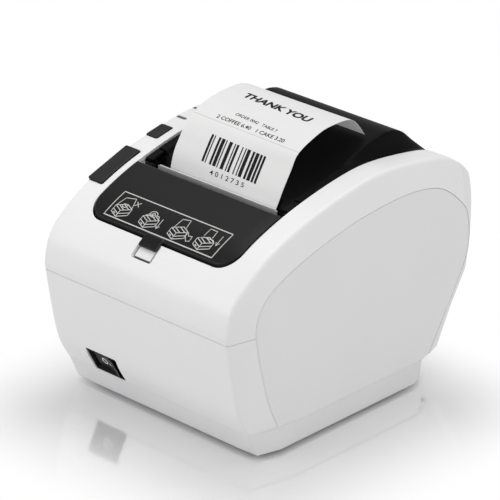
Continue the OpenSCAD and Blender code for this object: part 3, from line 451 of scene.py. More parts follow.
room = [at_x(x, room_ring) for x in (0, FLAT_X)]
room += round_corner(room_ring, BACK_CORNER - WALL, (25, 50, 70, 90))

OPENING_X, OPENING_FRONT, OPENING_LENGTH, OPENING_ROUND = 52.5, FRONT + 16.2, 260, 11.0
HINGE = np.array([REAR - 14.0, CREST - 25.0])
SHOULDER_X = -(OPENING_X + CREASE_X) / 2 - 2.6
OPEN_BUTTON_Y, OPEN_BUTTON_SIZE = FRONT + 47.7, (10.6, 30.0)
FEED_BUTTON_Y, FEED_BUTTON_SIZE = FRONT + 81.2, (8.4, 12.4)
LENS_Y, LENS_SIZE = (FRONT + 98, FRONT + 110.6, FRONT + 123.2), (7.0, 2.2)
TAB_X, SCOOP_WIDTH, SCOOP_LENGTH, SCOOP_DEPTH = -1.9, 14.2, 11.4, 0.8
BUTTON_GAP = 0.4
SWITCH_RISE, SWITCH_LEAN = 0.8, math.degrees(math.atan2(12.6, -6.8))
SWITCH_WIDTH, SWITCH_HEIGHT, SILL_FLARE = 22.6, 17.4, 2.4
SWITCH_AT = tilted(SWITCH_LEAN, (-33.6, FRONT + 12.1, TRAY_SEAM + 6.3))
BAY_X, BAY_DEPTH, BAY_TOP = 38.4, 42.0, 48.4


def slot_at(y, size, radius, gap=0.0):
    """A hole in the shoulder at y, for a key or a lens of that size."""
    return prism(rounded(size[0] + 2 * gap, size[1] + 2 * gap, radius), -8, 5, on_top(SHOULDER_X, y))


opening = rounded(2 * OPENING_X, OPENING_LENGTH, OPENING_ROUND, 10, (0, OPENING_FRONT + OPENING_LENGTH / 2))
scoop_place = on_top(TAB_X, OPENING_FRONT - 4.6)
SLIT_X, SLIT_Y, SLIT_WIDTH = 6.7, 5.4, 1.2
upper_cuts = [joined([
    prism(opening, HINGE[1] - 8, CREST + 12), slot_at(OPEN_BUTTON_Y, OPEN_BUTTON_SIZE, 1.4, BUTTON_GAP),
    slot_at(FEED_BUTTON_Y, FEED_BUTTON_SIZE, 1.4, BUTTON_GAP),
    prism(rounded(SCOOP_WIDTH, SCOOP_LENGTH, 1.6), -SCOOP_DEPTH, 6, scoop_place)]
    + [slot_at(y, LENS_SIZE, 0.8) for y in LENS_Y])]
slit_end = SLIT_WIDTH - SLIT_Y
for x, y in (((-SLIT_X, SLIT_WIDTH - SLIT_X), (slit_end, 2.0)),
             ((SLIT_X - SLIT_WIDTH, SLIT_X), (slit_end, 2.0)),
             ((0.4 - SLIT_X, SLIT_X - 0.4), (-SLIT_Y, slit_end + 0.01))):
    upper_cuts.append(prism(corners(x, y), -4.0, -0.4, scoop_place))
sill = stacked([
    (rounded(SWITCH_WIDTH + wider, SWITCH_HEIGHT + flare, 1.0, 5, (0, SWITCH_RISE - flare / 2)), z)
    for wider, flare, z in ((0, 0, -1.6), (0.4, SILL_FLARE, 1.0), (0.4, SILL_FLARE, 3.0))], SWITCH_AT)
lower_cuts = [joined([
    block((-BAY_X, BAY_X), (REAR - BAY_DEPTH, REAR + 4), (TRAY_SEAM - 3, BAY_TOP)),
    prism(rounded(SWITCH_WIDTH, SWITCH_HEIGHT, 1.0, 5, (0, SWITCH_RISE)), -16, 14, SWITCH_AT)]), sill]

white_shell = moulded("White satin shell", (233, 233, 233), 0.38, relief=0.012, edge=0.45)
ALL_X, ALL_Y = (-90, 90), (-120, 120)
for label, low, high, cuts in (("lower", TRAY_SEAM + 0.1, CASE_SEAM - SEAM_GAP / 2, lower_cuts),
                               ("upper", CASE_SEAM + SEAM_GAP / 2, CREST + 9, upper_cuts)):
    half_case = shape(label.title() + "_case", *tube(both_sides(stations)))
    carve(half_case, *block(ALL_X, ALL_Y, (low, high)), "INTERSECT")
    for cut in [tube(both_sides(room))] + cuts:
        carve(half_case, *cut)
    done(half_case, white_shell, "chassis", [label + "_case"])

# --- Side panels -----------------------------------------------------------------------------------------
# Two white panels snap into pockets in the sides of the case and hide its clips. Each is a shallow dish
# moulded in the same plastic, slightly crowned, and flared out a little low down where it is gripped.

PANEL_FOOT, PANEL_RIM, PANEL_EDGE, PANEL_SOFT = TRAY_SEAM + 0.1, 2.5, 0.22, 0.25
foot_line = Outline([(FRONT + 47, PANEL_FOOT), (REAR - 52, PANEL_FOOT), (REAR - 58, TRAY_SEAM + 26),
                     (FRONT + 44, TRAY_SEAM + 26)])
white_panel = moulded("White satin panel", (228, 228, 229), 0.36, relief=0.012, edge=0.4)
foot_ring = foot_line.at(facing)
for side, label in ((-1, "left"), (1, "right")):
    rim = np.c_[panel_ring[:, 0], np.maximum(panel_ring[:, 1], PANEL_FOOT)]
    middle = np.array([(rim[:, 0].min() + rim[:, 0].max()) / 2, TRAY_SEAM + 40])
    softened = rim + (middle - rim) / np.linalg.norm(middle - rim, axis=1)[:, None] * PANEL_SOFT
    softened[:, 1] = np.maximum(softened[:, 1], PANEL_FOOT)
    rings = [at_x(PANEL_X - PANEL_RIM, rim), at_x(PANEL_X - PANEL_EDGE, rim), at_x(PANEL_X, softened)]
    for t in np.linspace(0, 1, 13)[1:]:
        crown = PANEL_CROWN * (1 - (1 - t) ** 1.7) * (0.4 + 0.6 * t)
        rings.append(at_x(PANEL_X + crown, softened + (foot_ring - softened) * t))
    panel = shape("Side_panel_" + label, *tube([ring * (side, 1, 1) for ring in rings]))
    done(panel, white_panel, "chassis", ["side_panel_" + label], 40)

# --- Base tray and its rubber feet -----------------------------------------------------------------------
# A deep white tray closes the case from below and carries every post. Four moulded rubber feet are pressed
# into its corners, each with a soft edge and a dished, lightly ribbed face.

tray_finish = moulded("White satin tray", (226, 226, 227), 0.42, relief=0.015, edge=0.5)


def keep(name, finish):
    """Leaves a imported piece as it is, with a better finish."""
    nodes[name].data.materials.clear()
    nodes[name].data.materials.append(finish.material)


keep("base_tray", tray_finish)


def turned(profile, segments):
    """A closed body turned about its own Z from (radius, height) pairs that start and end on the axis."""
    t = np.arange(segments) * 2 * math.pi / segments
    points = np.vstack([np.c_[r * np.cos(t), r * np.sin(t), np.full(segments, z)] for r, z in profile])
    return points, bands(segments, len(profile))


def spread(profiles, segments, places):
    """Turned bodies repeated at each x and y."""
    bodies = [turned(profile, segments) for profile in profiles]
    return joined([(points + (x, y, 0), faces) for x, y in places for points, faces in bodies])


foot_rubber = moulded("Foot rubber", (38, 38, 39), 0.78, texture=0.6, relief=0.03, edge=0.4, vary=0.08)
foot_places = [(s * 57, y) for s in (-1, 1) for y in (FRONT + 36, REAR - 56)]
foot_profile = [(0, 3), (5.98, 3), (5.98, 0.9), (5.7, 0.35), (5.1, 0.0), (4.4, 0.0), (4.1, 0.3), (2.6, 0.45),
                (2.4, 0.25), (1.2, 0.25), (0, 0.3)]
feet = shape("Rubber_feet", *spread([foot_profile], 40, foot_places))
done(feet, foot_rubber, "chassis", ["rubber_feet"], 50)

# --- Case screws -----------------------------------------------------------------------------------------
# Four zinc plated pan head screws hold the tray up to the case, driven from below through deep holes.
# Each has a domed head with a cross recess and a threaded shank.

zinc = Finish("Zinc plated steel")
streak = zinc.grain(2.4, 3.0, 0.6)
zinc.paint({
    "Base Color": zinc.blend(zinc.grain(14, 3.0), linear((176, 180, 184)), linear((206, 208, 208))),
    "Metallic": 1.0, "Roughness": 0.3 + streak * 0.16,
    "Normal": zinc.bump(streak, 0.3, 0.01, zinc.soft_edge(0.15))})


class Tree:
    """A tree of geometry nodes with named inputs, built the same way as a finish."""

    def __init__(self, name, inputs):
        self.tree = bpy.data.node_groups.new(name, "GeometryNodeTree")
        self.tree.interface.new_socket("Geometry", in_out="OUTPUT", socket_type="NodeSocketGeometry")
        self.names = {}
        for label, value in inputs.items():
            kind = {int: "NodeSocketInt", float: "NodeSocketFloat", bpy.types.Material: "NodeSocketMaterial"}
            entry = self.tree.interface.new_socket(label, in_out="INPUT", socket_type=kind[type(value)])
            self.names[label] = (entry.identifier, value)
        self.source = self.tree.nodes.new("NodeGroupInput")
        self.end = self.tree.nodes.new("NodeGroupOutput")

    def given(self, label):
        return self.source.outputs[label]

    def node(self, kind, settings, sockets, out=0):
        made = self.tree.nodes.new(kind)
        for name, value in settings.items():
            setattr(made, name, value)
        for name, value in sockets.items():
            if isinstance(value, bpy.types.NodeSocket):
                self.tree.links.new(value, made.inputs[name])
            else:
                made.inputs[name].default_value = value
        return made.outputs[out]

    def sum(self, operation, a, b):
        return self.node("ShaderNodeMath", {"operation": operation}, {0: a, 1: b})

    def spiral(self, steps, sides, height):
        """A round wire wound to the tree's own Turns and Radius, over that height."""
        turn = self.node("GeometryNodeCurveSpiral", {}, {
            "Resolution": steps, "Rotations": self.given("Turns"), "Start Radius": self.given("Radius"),
            "End Radius": self.given("Radius"), "Height": height})
        wire = self.node("GeometryNodeCurvePrimitiveCircle", {}, {
            "Resolution": sides, "Radius": self.given("Wire")})
        return self.node("GeometryNodeCurveToMesh", {}, {
            "Curve": turn, "Profile Curve": wire, "Fill Caps": True})

    def finish(self, geometry):
        """Ends the tree: instances become real, and take the material."""
        real = self.node("GeometryNodeRealizeInstances", {}, {0: geometry})
        shaded = self.node("GeometryNodeSetMaterial", {}, {
            "Geometry": real, "Material": self.given("Finish")})
        self.tree.links.new(shaded, self.end.inputs[0])

    def grow(self, name, matrix=Matrix.Identity(4), **given):
        """A plain mesh object made by the tree, put in place by a matrix in millimetres."""
        piece = linked(name, bpy.data.meshes.new(name))
        grown = piece.modifiers.new("grown", "NODES")
        grown.node_group = self.tree
        for label, (identifier, value) in self.names.items():
            grown[identifier] = given.get(label, value)
        settle(piece)
        place = matrix.copy()
        place.translation /= 1000
        piece.data.transform(place)
        return piece


SCREW_X, SCREW_FRONT, SCREW_REAR = 54.0, FRONT + 58, REAR - 72
SCREW_PLACES = [(x, y) for x in (-SCREW_X, SCREW_X) for y in (SCREW_FRONT, SCREW_REAR)]
threads = Tree("Screw thread", {"Turns": 7.0, "Pitch": 0.0013, "Radius": 0.00128, "Wire": 0.0003,
                                "Finish": zinc.material})
thread = threads.spiral(18, 6, threads.sum("MULTIPLY", threads.given("Turns"), threads.given("Pitch")))
points_node = threads.node("GeometryNodeMeshLine", {}, {"Count": 4, "Offset": (0.0, 0.0, 0.0)})
spot = threads.node("GeometryNodeInputIndex", {}, {})
side_of = threads.sum("FLOOR", threads.sum("DIVIDE", spot, 2.0), 0.0)
row_of = threads.sum("MODULO", spot, 2.0)
stand = threads.node("ShaderNodeCombineXYZ", {}, {
    "X": threads.sum("SUBTRACT", threads.sum("MULTIPLY", side_of, 2 * SCREW_X / 1000), SCREW_X / 1000),
    "Y": threads.sum("ADD", threads.sum("MULTIPLY", row_of, (SCREW_REAR - SCREW_FRONT) / 1000),
                     SCREW_FRONT / 1000),
    "Z": 0.0045})
placed = threads.node("GeometryNodeSetPosition", {}, {"Geometry": points_node, "Position": stand})
threads.finish(threads.node("GeometryNodeInstanceOnPoints", {}, {"Points": placed, "Instance": thread}))
thread_piece = threads.grow("Screw_threads")
done(thread_piece, zinc, "chassis")
head_profile = [(0, 4.4), (2.98, 4.4), (3.0, 3.6), (2.75, 2.9), (2.1, 2.5), (1.0, 2.42), (0, 2.4)]
shank_profile = [(0, 15.0), (0.5, 14.9), (1.15, 13.6), (1.15, 4.2), (0, 4.2)]
screws = shape("Case_screws", *spread([head_profile, shank_profile], 28, SCREW_PLACES))
CROSS_LENGTH, CROSS_WIDTH, CROSS_LOW, CROSS_HIGH = 3.4, 0.7, 1.9, 3.4
carve(screws, *joined([
    block((x - w / 2, x + w / 2), (y - d / 2, y + d / 2), (CROSS_LOW, CROSS_HIGH)) for x, y in SCREW_PLACES
    for w, d in ((CROSS_LENGTH, CROSS_WIDTH), (CROSS_WIDTH, CROSS_LENGTH))]))
done(screws, zinc, "chassis", ["case_screws"])

# --- Power switch ----------------------------------------------------------------------------------------
# A black rocker switch is set back in a cut in the lower front. Its bezel frames a two-way rocker in glossy
# nylon, printed with the usual ring and bar for off and on.

glossy_black = moulded("Glossy black nylon", (8, 8, 9), 0.26, texture=0.5, relief=0.004, edge=0.3, vary=0.1)
glossy_black.paint({"Specular IOR Level": 0.11})
mark_white = moulded("White pad print", (232, 232, 230), 0.5, relief=0.004, edge=0.05)
SET_BACK = 0.4
BEZEL = (22.4, 17.2)
ROCKER = (17.4, 12.4)
switch_frame = SWITCH_AT @ Matrix.Translation((0, SWITCH_RISE, -SET_BACK))


def eased(width, length, radius, z0, z1, edge):
    """Levels of a plate whose top edge is rolled over by edge."""
    levels = [(rounded(width, length, radius, 6), z0)]
    for t in np.linspace(0, math.pi / 2, 5):
        inset = edge * (1 - math.cos(t))
        levels.append((rounded(width - 2 * inset, length - 2 * inset, max(radius - inset, 0.05), 6),
                       z1 - edge + edge * math.sin(t)))
    return levels


bezel = shape("Switch_bezel", *stacked(eased(*BEZEL, 1.0, -9, 0.0, 0.3), switch_frame))
hole = rounded(ROCKER[0] + 2.2, ROCKER[1] + 0.6, 0.5)
mouth = rounded(ROCKER[0] + 4.2, ROCKER[1] + 4.0, 0.9)
carve(bezel, *stacked([(hole, -11), (hole, -1.4), (mouth, 0.4)], switch_frame))
done(bezel, glossy_black, "chassis", ["switch_bezel"])
PIVOT_DEPTH, SWITCHED_OFF = 5.2, -7
swing = switch_frame @ tilted(SWITCHED_OFF, (0, 0, -PIVOT_DEPTH), "Y")
half = ROCKER[0] / 2


def rocker_face(x):
    """Height of the rocker's dished face over its pivot, with the print just clear of it."""
    return 4.1 + 0.9 * (abs(x) / half) ** 1.6 + 0.02


crown = [(-half, -1.0), (-half + 2.4, -2.6), (half - 2.4, -2.6), (half, -1.0)]
for x in np.linspace(half, -half, 25):
    crown.append((x, rocker_face(x) - 0.02 - (0.25 if abs(x) > half - 0.01 else 0)))
rocker_rings = []
for y, inset in ((-6.2, 0.35), (-6.05, 0.1), (-5.8, 0.0), (5.8, 0.0), (6.05, 0.1), (6.2, 0.35)):
    ring = np.array(crown)
    ring = np.c_[ring[:, 0] * (1 - inset / half), ring[:, 1] - inset * (ring[:, 1] > 0)]
    rocker_rings.append(put(swing, [(x, y, z) for x, z in ring]))
rocker = shape("Power_rocker", *tube(rocker_rings))
done(rocker, glossy_black, "power_rocker", ["power_rocker"])


def ribbon(path, width, closed=False):
    """Points and faces of a flat stroke along a path in two dimensions."""
    p = np.array(path, float)
    ahead = heading(p, closed)
    across = np.c_[-ahead[:, 1], ahead[:, 0]] * width / 2
    count = len(p)
    points = np.vstack([p + across, p - across])
    last = count if closed else count - 1
    faces = [(j, j + count, (j + 1) % count + count, (j + 1) % count) for j in range(last)]
    return points, faces


def arc(at, radius, start=0, stop=360, step=12):
    """Points round a centre, from start up to stop degrees."""
    t = np.radians(np.arange(start, stop, step))
    return np.c_[at[0] + radius * np.cos(t), at[1] + radius * np.sin(t)]


RING_AT, RING_RADII, RING_STROKE = (-1.2, 0.6), (1.8, 1.9), 0.75
BAR_X, BAR_Y, BAR_STROKE = 3.6, (-0.6, 0.5, 1.6), 0.7
ring_mark = ribbon(arc((0, 0), 1.0) * RING_RADII + RING_AT, RING_STROKE, True)
bar_mark = ribbon([(BAR_X, y) for y in BAR_Y], BAR_STROKE)
points, faces = joined([(np.c_[p, np.zeros(len(p))], f) for p, f in (ring_mark, bar_mark)])
points = put(swing, [(x, y, rocker_face(x)) for x, y, z in points])
marks = shape("Switch_marks", points, faces)
done(marks, mark_white, "power_rocker")
keep("switch_body", glossy_black)

# --- Main board and button board -------------------------------------------------------------------------
# Two glass fibre boards with green solder mask. The main one lies low at the back behind the sockets, the
# small one hangs under the shoulder and carries the lamps and the feed switch.

board = Finish("Green circuit board")
tracks = board.node("TexBrick", {"offset": 0.37, "squash": 0.6, "squash_frequency": 3}, {
    "Vector": board.here(), "Scale": 260.0, "Mortar Size": 0.016, "Mortar Smooth": 0.2, "Bias": 0.0,
    "Brick Width": 0.9, "Row Height": 0.26}, "Fac")
islands = board.steps(board.grain(3.2, 1.0), 0.5, 0.56)
board.paint({
    "Base Color": board.blend(tracks * islands, linear((22, 84, 46)), linear((74, 138, 78))),
    "Roughness": 0.3 + islands * 0.12, "Normal": board.bump(tracks * islands, 0.5, 0.03),
    "Coat Weight": 0.4, "Coat Roughness": 0.15})
chips = Finish("Board parts")
kinds = chips.node("TexVoronoi", {"feature": "F1"}, {"Vector": chips.here(), "Scale": 120.0}, "Color")
kind = chips.node("SeparateColor", {}, {"Color": kinds}, "Red")
shell_grain = chips.grain(0.5, 2.0)
stops = [(0.0, linear((28, 28, 30))), (0.62, linear((36, 36, 38))), (0.7, linear((150, 132, 96))),
         (1.0, linear((176, 178, 180)))]
chips.paint({
    "Base Color": chips.node("ValToRGB", {"stops": stops}, {"Fac": kind}, "Color"),
    "Roughness": 0.42 + shell_grain * 0.2,
    "Normal": chips.bump(shell_grain, 0.5, 0.01, chips.soft_edge(0.2))})
keep("main_board", board)
keep("button_board", board)
keep("board_parts", chips)

# --- Rear panel and its sockets --------------------------------------------------------------------------
# A black moulded panel closes the bay at the back. Four sockets on the main board look out through it: power,
# a square serial socket, a network socket and one for a cash drawer, with gilt contacts inside them.

panel_black = moulded("Textured black panel", (34, 34, 35), 0.5, texture=0.5, relief=0.03, edge=0.4, vary=0.1)


def worked(name, grain, dark, light, rough, relief, edge=0.0, metal=1.0):
    """A finish whose tone, gloss and relief follow one grain of that size, detail, roughness and stretch.

    rough is the lowest roughness and how far it rises, relief the strength and depth of the bumps.
    """
    finish = Finish(name)
    marks = finish.grain(*grain)
    finish.paint({
        "Base Color": finish.blend(marks, linear(dark), linear(light)), "Metallic": metal,
        "Roughness": rough[0] + marks * rough[1],
        "Normal": finish.bump(marks, *relief, finish.soft_edge(edge) if edge else None)})
    return finish


tinned = worked("Tinned socket shell", (1.6, 3.0, 0.6, (1.0, 0.12, 1.0)), (168, 170, 172), (205, 206, 207),
                (0.24, 0.2), (0.3, 0.01), 0.2)
gilt = worked("Gilt contact", (0.8, 3.0), (196, 154, 74), (232, 196, 118), (0.2, 0.15), (0.3, 0.01))
keep("rear_panel", panel_black)
for name in ("power_inlet", "drawer_port"):
    keep(name, glossy_black)
for name in ("usb_port", "network_port"):
    keep(name, tinned)
contacts = Tree("Contact row", {"Count": 8, "Pitch": 0.00102, "Width": 0.00045, "Length": 0.006,
                                "Finish": gilt.material})
slim = contacts.node("ShaderNodeCombineXYZ", {}, {"X": contacts.given("Width"), "Y": contacts.given("Length"),
                                                  "Z": contacts.given("Width")})
blade = contacts.node("GeometryNodeMeshCube", {}, {"Size": slim})
along_row = contacts.node("ShaderNodeCombineXYZ", {}, {"X": contacts.given("Pitch"), "Y": 0.0, "Z": 0.0})
row = contacts.node("GeometryNodeMeshLine", {}, {"Count": contacts.given("Count"), "Offset": along_row})
contacts.finish(contacts.node("GeometryNodeInstanceOnPoints", {}, {"Points": row, "Instance": blade}))
CONTACT_Y = REAR - 48.5
for name, x, count, pitch, z in (
        ("Network_contacts", 5.4, 8, 1.02, 30.6), ("Drawer_contacts", 22.9, 6, 1.25, 29.4),
        ("Serial_contacts", -9.6, 4, 1.1, 27.4), ("Power_contacts", -26.6, 3, 2.6, 27.6)):
    made = contacts.grow(name, Matrix.Translation((x, CONTACT_Y, z)), Count=count, Pitch=pitch / 1000)
    done(made, gilt, "chassis")

# --- Feed motor and gears --------------------------------------------------------------------------------
# A round stepper motor drives the platen through a train of straight toothed gears at the left hand end.
# The motor's can is drawn steel, its pinion brass, and the larger gears are white acetal.

can_steel = worked("Drawn motor steel", (1.0, 3.0, 0.6, (1.0, 1.0, 0.15)), (150, 152, 154), (188, 190, 191),
                   (0.3, 0.2), (0.35, 0.012), 0.3)
bright = worked("Ground bright steel", (0.7, 3.0, 0.6, (0.2, 1.0, 1.0)), (190, 191, 193), (222, 222, 223),
                (0.16, 0.16), (0.3, 0.006), 0.15)
brass = worked("Cut brass", (0.9, 3.0), (176, 142, 72), (208, 176, 104), (0.24, 0.2), (0.3, 0.01), 0.12)
acetal = moulded("White acetal", (222, 221, 214), 0.34, texture=0.5, relief=0.01, edge=0.2, vary=0.04)
wheel = moulded("Green acetal", (64, 132, 92), 0.4, texture=0.5, relief=0.02, edge=0.25, vary=0.06)
for name, finish in (("feed_motor", can_steel), ("cutter_motor", can_steel), ("motor_pinion", brass),
                     ("cutter_motor_gear", brass), ("idler_gear", acetal), ("platen_gear", acetal),
                     ("cutter_pinion", acetal), ("cutter_thumb_wheel", wheel), ("platen_shaft", bright),
                     ("cover_hinge_pin", bright)):
    keep(name, finish)

# --- Mechanism frame, print head and its springs ---------------------------------------------------------
# A folded and zinc plated steel frame holds the print line together. The ceramic head sits on a ribbed
# aluminium heat sink and is pressed against the platen by two coil springs.

mill = worked("Extruded aluminium", (1.1, 3.0, 0.6, (0.1, 1.0, 1.0)), (182, 184, 187), (212, 213, 215),
              (0.34, 0.2), (0.4, 0.012), 0.2)
ceramic = worked("Glazed ceramic", (2.0, 3.0), (92, 78, 66), (120, 104, 88), (0.16, 0.12), (0.2, 0.01),
                 0.1, metal=0.0)
ceramic.paint({"Coat Weight": 0.5, "Coat Roughness": 0.1})
for name, finish in (("mechanism_frame", zinc), ("cutter_frame", zinc), ("platen_bracket", zinc),
                     ("heat_sink", mill), ("print_head", ceramic), ("fixed_blade", bright),
                     ("moving_blade", bright)):
    keep(name, finish)
spring_steel = worked("Spring steel", (0.6, 3.0), (132, 134, 138), (176, 178, 181), (0.22, 0.18),
                      (0.3, 0.006))
coil = Tree("Coil spring", {"Turns": 6.0, "Radius": 0.002, "Wire": 0.00035, "Length": 0.005,
                            "Finish": spring_steel.material})
coil.finish(coil.spiral(24, 10, coil.given("Length")))


def springs(name, spots, turns, radius, wire_radius, length, node):
    """A set of equal coil springs, one at each spot, all in one mesh."""
    work = bmesh.new()
    for matrix in spots:
        one = coil.grow("coil", matrix, Turns=turns, Radius=radius / 1000, Wire=wire_radius / 1000,
                        Length=length / 1000)
        work.from_mesh(one.data)
        bpy.data.objects.remove(one)
    mesh = bpy.data.meshes.new(name)
    work.to_mesh(mesh)
    work.free()
    return done(linked(name, mesh), spring_steel, "chassis", [node], 60)


springs("Head_springs", [tilted(-90, (x, -41.5, 105.5)) for x in (-20, 20)],
        turns=5.0, radius=2.05, wire_radius=0.33, length=4.5, node="head_springs")
springs("Hinge_springs", [tilted(90, (x, *HINGE), "Y") for x in (-26.5, 19.5)],
        turns=7.0, radius=2.4, wire_radius=0.48, length=7.0, node="hinge_springs")

# --- Platen roller and paper path ------------------------------------------------------------------------
# The platen is a ground rubber sleeve on a steel shaft in bronze bushes. The web runs from the roll in its
# black bin over the platen, and the roll is wound on a card core.

rubber = moulded("Ground platen rubber", (44, 44, 46), 0.7, texture=0.35, relief=0.02, edge=0.2, vary=0.08)
bronze = worked("Sintered bronze", (0.35, 2.0, 0.7), (128, 98, 62), (176, 142, 96), (0.38, 0.2),
                (0.5, 0.02), 0.15)
wound = Finish("Wound paper roll")
ROLL_Y, ROLL_Z, LAYERS = 0.036, 0.0801, 2600.0
roll_place = wound.node("SeparateXYZ", {}, {"Vector": wound.here()}, "Y") - ROLL_Y
roll_height = wound.node("SeparateXYZ", {}, {"Vector": wound.here()}, "Z") - ROLL_Z
from_core = wound.sum("SQRT", roll_place * roll_place + roll_height * roll_height, 0.0)
layers = wound.sum("FRACT", from_core * LAYERS + wound.grain(30, 2.0) * 3.0, 0.0)
sides_only = wound.node("SeparateXYZ", {}, {"Vector": wound.node("TexCoord", {}, {}, "Normal")}, "X")
end_face = wound.steps(wound.sum("ABSOLUTE", sides_only, 0.0), 0.8, 0.95)
wound.paint({"Base Color": wound.blend(layers * end_face, linear((240, 239, 235)), linear((206, 204, 198))),
             "Roughness": 0.6 + layers * 0.1, "Normal": wound.bump(layers * end_face, 0.4, 0.03)})
card = worked("Grey core card", (0.6, 4.0, 0.65), (138, 124, 104), (176, 162, 138), (0.8, 0.1), (0.6, 0.04),
              metal=0.0)
# Painted light: the paper glows faintly by its emission, which lifts the shade on the curled receipt so it
# looks evenly bright; its base colour is held lower to make up for it.
paper = Finish("Thermal paper")
fibre = paper.grain(0.5, 4.0, 0.65)
cloud = paper.grain(22, 2.0)
paper.paint({"Base Color": paper.blend(cloud, linear((206, 206, 206)), linear((211, 211, 210))),
             "Roughness": 0.55 + (fibre - 0.5) * 0.2, "Normal": paper.bump(fibre, 0.4, 0.01),
             "Specular IOR Level": 0.35, "Emission Color": (1, 1, 1, 1), "Emission Strength": 0.12})
bin_black = moulded("Matt black bin", (30, 30, 31), 0.5, texture=0.5, relief=0.02, edge=0.4, vary=0.1)
for name, finish in (("platen_roller", rubber), ("platen_bushes", bronze), ("paper_roll", wound),
                     ("roll_core", card), ("paper_web", paper), ("paper_bin", bin_black),
                     ("latch_lever", bin_black)):
    keep(name, finish)

# --- Case ears -------------------------------------------------------------------------------------------
# Two small ears moulded inside the upper case hold the front cover's hinge pins. They are part of the same
# white moulding and are seen when the covers stand open.

front_hinge = np.array([FRONT + 57.5, CREST - 14.4])
arch = np.vstack([arc(front_hinge, 3.6, -180, 1, 15), front_hinge + (3.6, 2.9), front_hinge + (-3.6, 0.9)])
case_ears = shape("Case_ears", *joined([through(arch, side * (OPENING_X + 0.12), side * (OPENING_X + 2.2))
                                        for side in (-1, 1)]))
carve(case_ears, *through(arc(front_hinge, 1.4, step=15), -60, 60))
done(case_ears, white_shell, "chassis")

# --- Open and feed buttons -------------------------------------------------------------------------------
# Two black keys stand a little above the right hand shoulder. Each is moulded with a rolled top edge and a
# faint dish for the finger, on a round stem that runs down to its spring or its switch.

satin_black = moulded("Satin black plastic", (11, 10, 10), 0.36, texture=0.3, relief=0.008, edge=0.3,
                      vary=0.06)
hump_black = moulded("Matt black plastic", (8, 7, 7), 0.46, texture=0.3, relief=0.01, edge=0.3, vary=0.06)
key_black = moulded("Satin black key", (17, 16, 17), 0.34, texture=0.3, relief=0.008, edge=0.25, vary=0.06)
for black, shine in ((satin_black, 0.22), (hump_black, 0.07), (key_black, 0.3)):
    black.paint({"Specular IOR Level": shine})
# Painted highlight: the front cover's colour goes from black to light grey where its rounded edges turn away
# from the flat face, so its rolled edges and the tab read as lit.
flat = satin_black.node("NewGeometry", {}, {}, "Normal")
turning_away = satin_black.node("VectorMath", {"operation": "DOT_PRODUCT"}, {
    0: flat, 1: satin_black.soft_edge(0.9)}, "Value")
painted_edge_highlight = satin_black.steps(1.0 - turning_away, 0.02, 0.16)
satin_black.paint({"Base Color": satin_black.blend(painted_edge_highlight, linear((11, 10, 10)), linear((92, 92, 93)))})


def inside(points, outline, margin):
    """Which points lie inside an outline by at least margin."""
    keep_in = np.zeros(len(points), bool)
    away = np.full(len(points), np.inf)
    for a, b in zip(outline, np.roll(outline, -1, 0)):
        crosses = (a[1] > points[:, 1]) != (b[1] > points[:, 1])
        if a[1] != b[1]:
            keep_in ^= crosses & (points[:, 0] < (b[0] - a[0]) * (points[:, 1] - a[1]) / (b[1] - a[1]) + a[0])
        side = b - a
        t = np.clip(((points - a) @ side) / max(side @ side, 1e-12), 0, 1)
        away = np.minimum(away, np.linalg.norm(points - a - t[:, None] * side, axis=1))
    return keep_in & (away > margin)


def inset(outline, distance):
    """The outline moved inwards, corner by corner."""
    ahead = np.roll(outline, -1, 0) - outline
    ahead /= np.linalg.norm(ahead, axis=1)[:, None]
    left = np.c_[-ahead[:, 1], ahead[:, 0]]
    both = left + np.roll(left, 1, 0)
    both /= np.sum(both * both, axis=1)[:, None] / 2
    return outline + distance * both


def sheet(outline, height, spacing):
    """A sheet of triangles that fills a flat outline and follows height."""
    x = np.arange(outline[:, 0].min(), outline[:, 0].max(), spacing[0]) + spacing[0] / 2
    y = np.arange(outline[:, 1].min(), outline[:, 1].max(), spacing[1]) + spacing[1] / 2
    grid = np.array([(a, b) for b in y for a in x])
    grid = grid[inside(grid, outline, min(spacing) * 0.45)]
    count = len(outline)
    flat = [Vector(p) for p in np.vstack([outline, grid])]
    made = delaunay_2d_cdt(flat, [], [list(range(count))], 1, 1e-5)
    where = np.array([tuple(p) for p in made[0]])
    where[:count] = outline
    return np.c_[where, height(where[:, 0], where[:, 1])], [tuple(f) for f in made[2]]


def level(height):
    """A flat top or bottom for a plate."""
    return lambda x, y: np.full(len(x), height)


def plate(outline, top, bottom, edge, spacing):
    """A closed plate over a flat outline, its top and bottom following two heights, its upper edge rolled."""
    rings = [np.c_[outline, bottom(outline[:, 0], outline[:, 1])]]
    for t in np.linspace(0, math.pi / 2, 5):
        ring = inset(outline, edge * (1 - math.cos(t)))
        rings.append(np.c_[ring, top(ring[:, 0], ring[:, 1]) - edge * (1 - math.sin(t))])
    sides = np.vstack(rings), bands(len(outline), len(rings))
    return joined([sides, sheet(ring, top, spacing), sheet(outline, bottom, (spacing[0], 8))])


KEY_DEPTH, KEY_DISH = 5.0, 0.28


def key(name, y, size, rise, stem):
    """A key of the shoulder: its cap with a dished top, and its round stem of that y, radius and depth."""
    place = on_top(SHOULDER_X, y)
    width, length = size

    def dished(px, py):
        bowl = np.clip(1 - (px / (width * 0.5)) ** 2, 0, 1) * np.clip(1 - (py / (length * 0.5)) ** 2, 0, 1)
        return rise - KEY_DISH * bowl

    cap = plate(rounded(width, length, 1.0, 6), dished, level(-KEY_DEPTH), 0.55, (1.6, 1.6))
    stem_y, radius, depth = stem
    post = turned([(0, -4.9), (radius, -4.9), (radius, -depth + 0.4), (radius - 0.4, -depth),
                   (0, -depth)], 32)
    post_place = place @ Matrix.Translation((0, stem_y, 0))
    piece = shape(name, *joined([set_at(place, cap), set_at(post_place, post)]))
    node = name.lower()
    return done(piece, key_black, node, [node], 28)


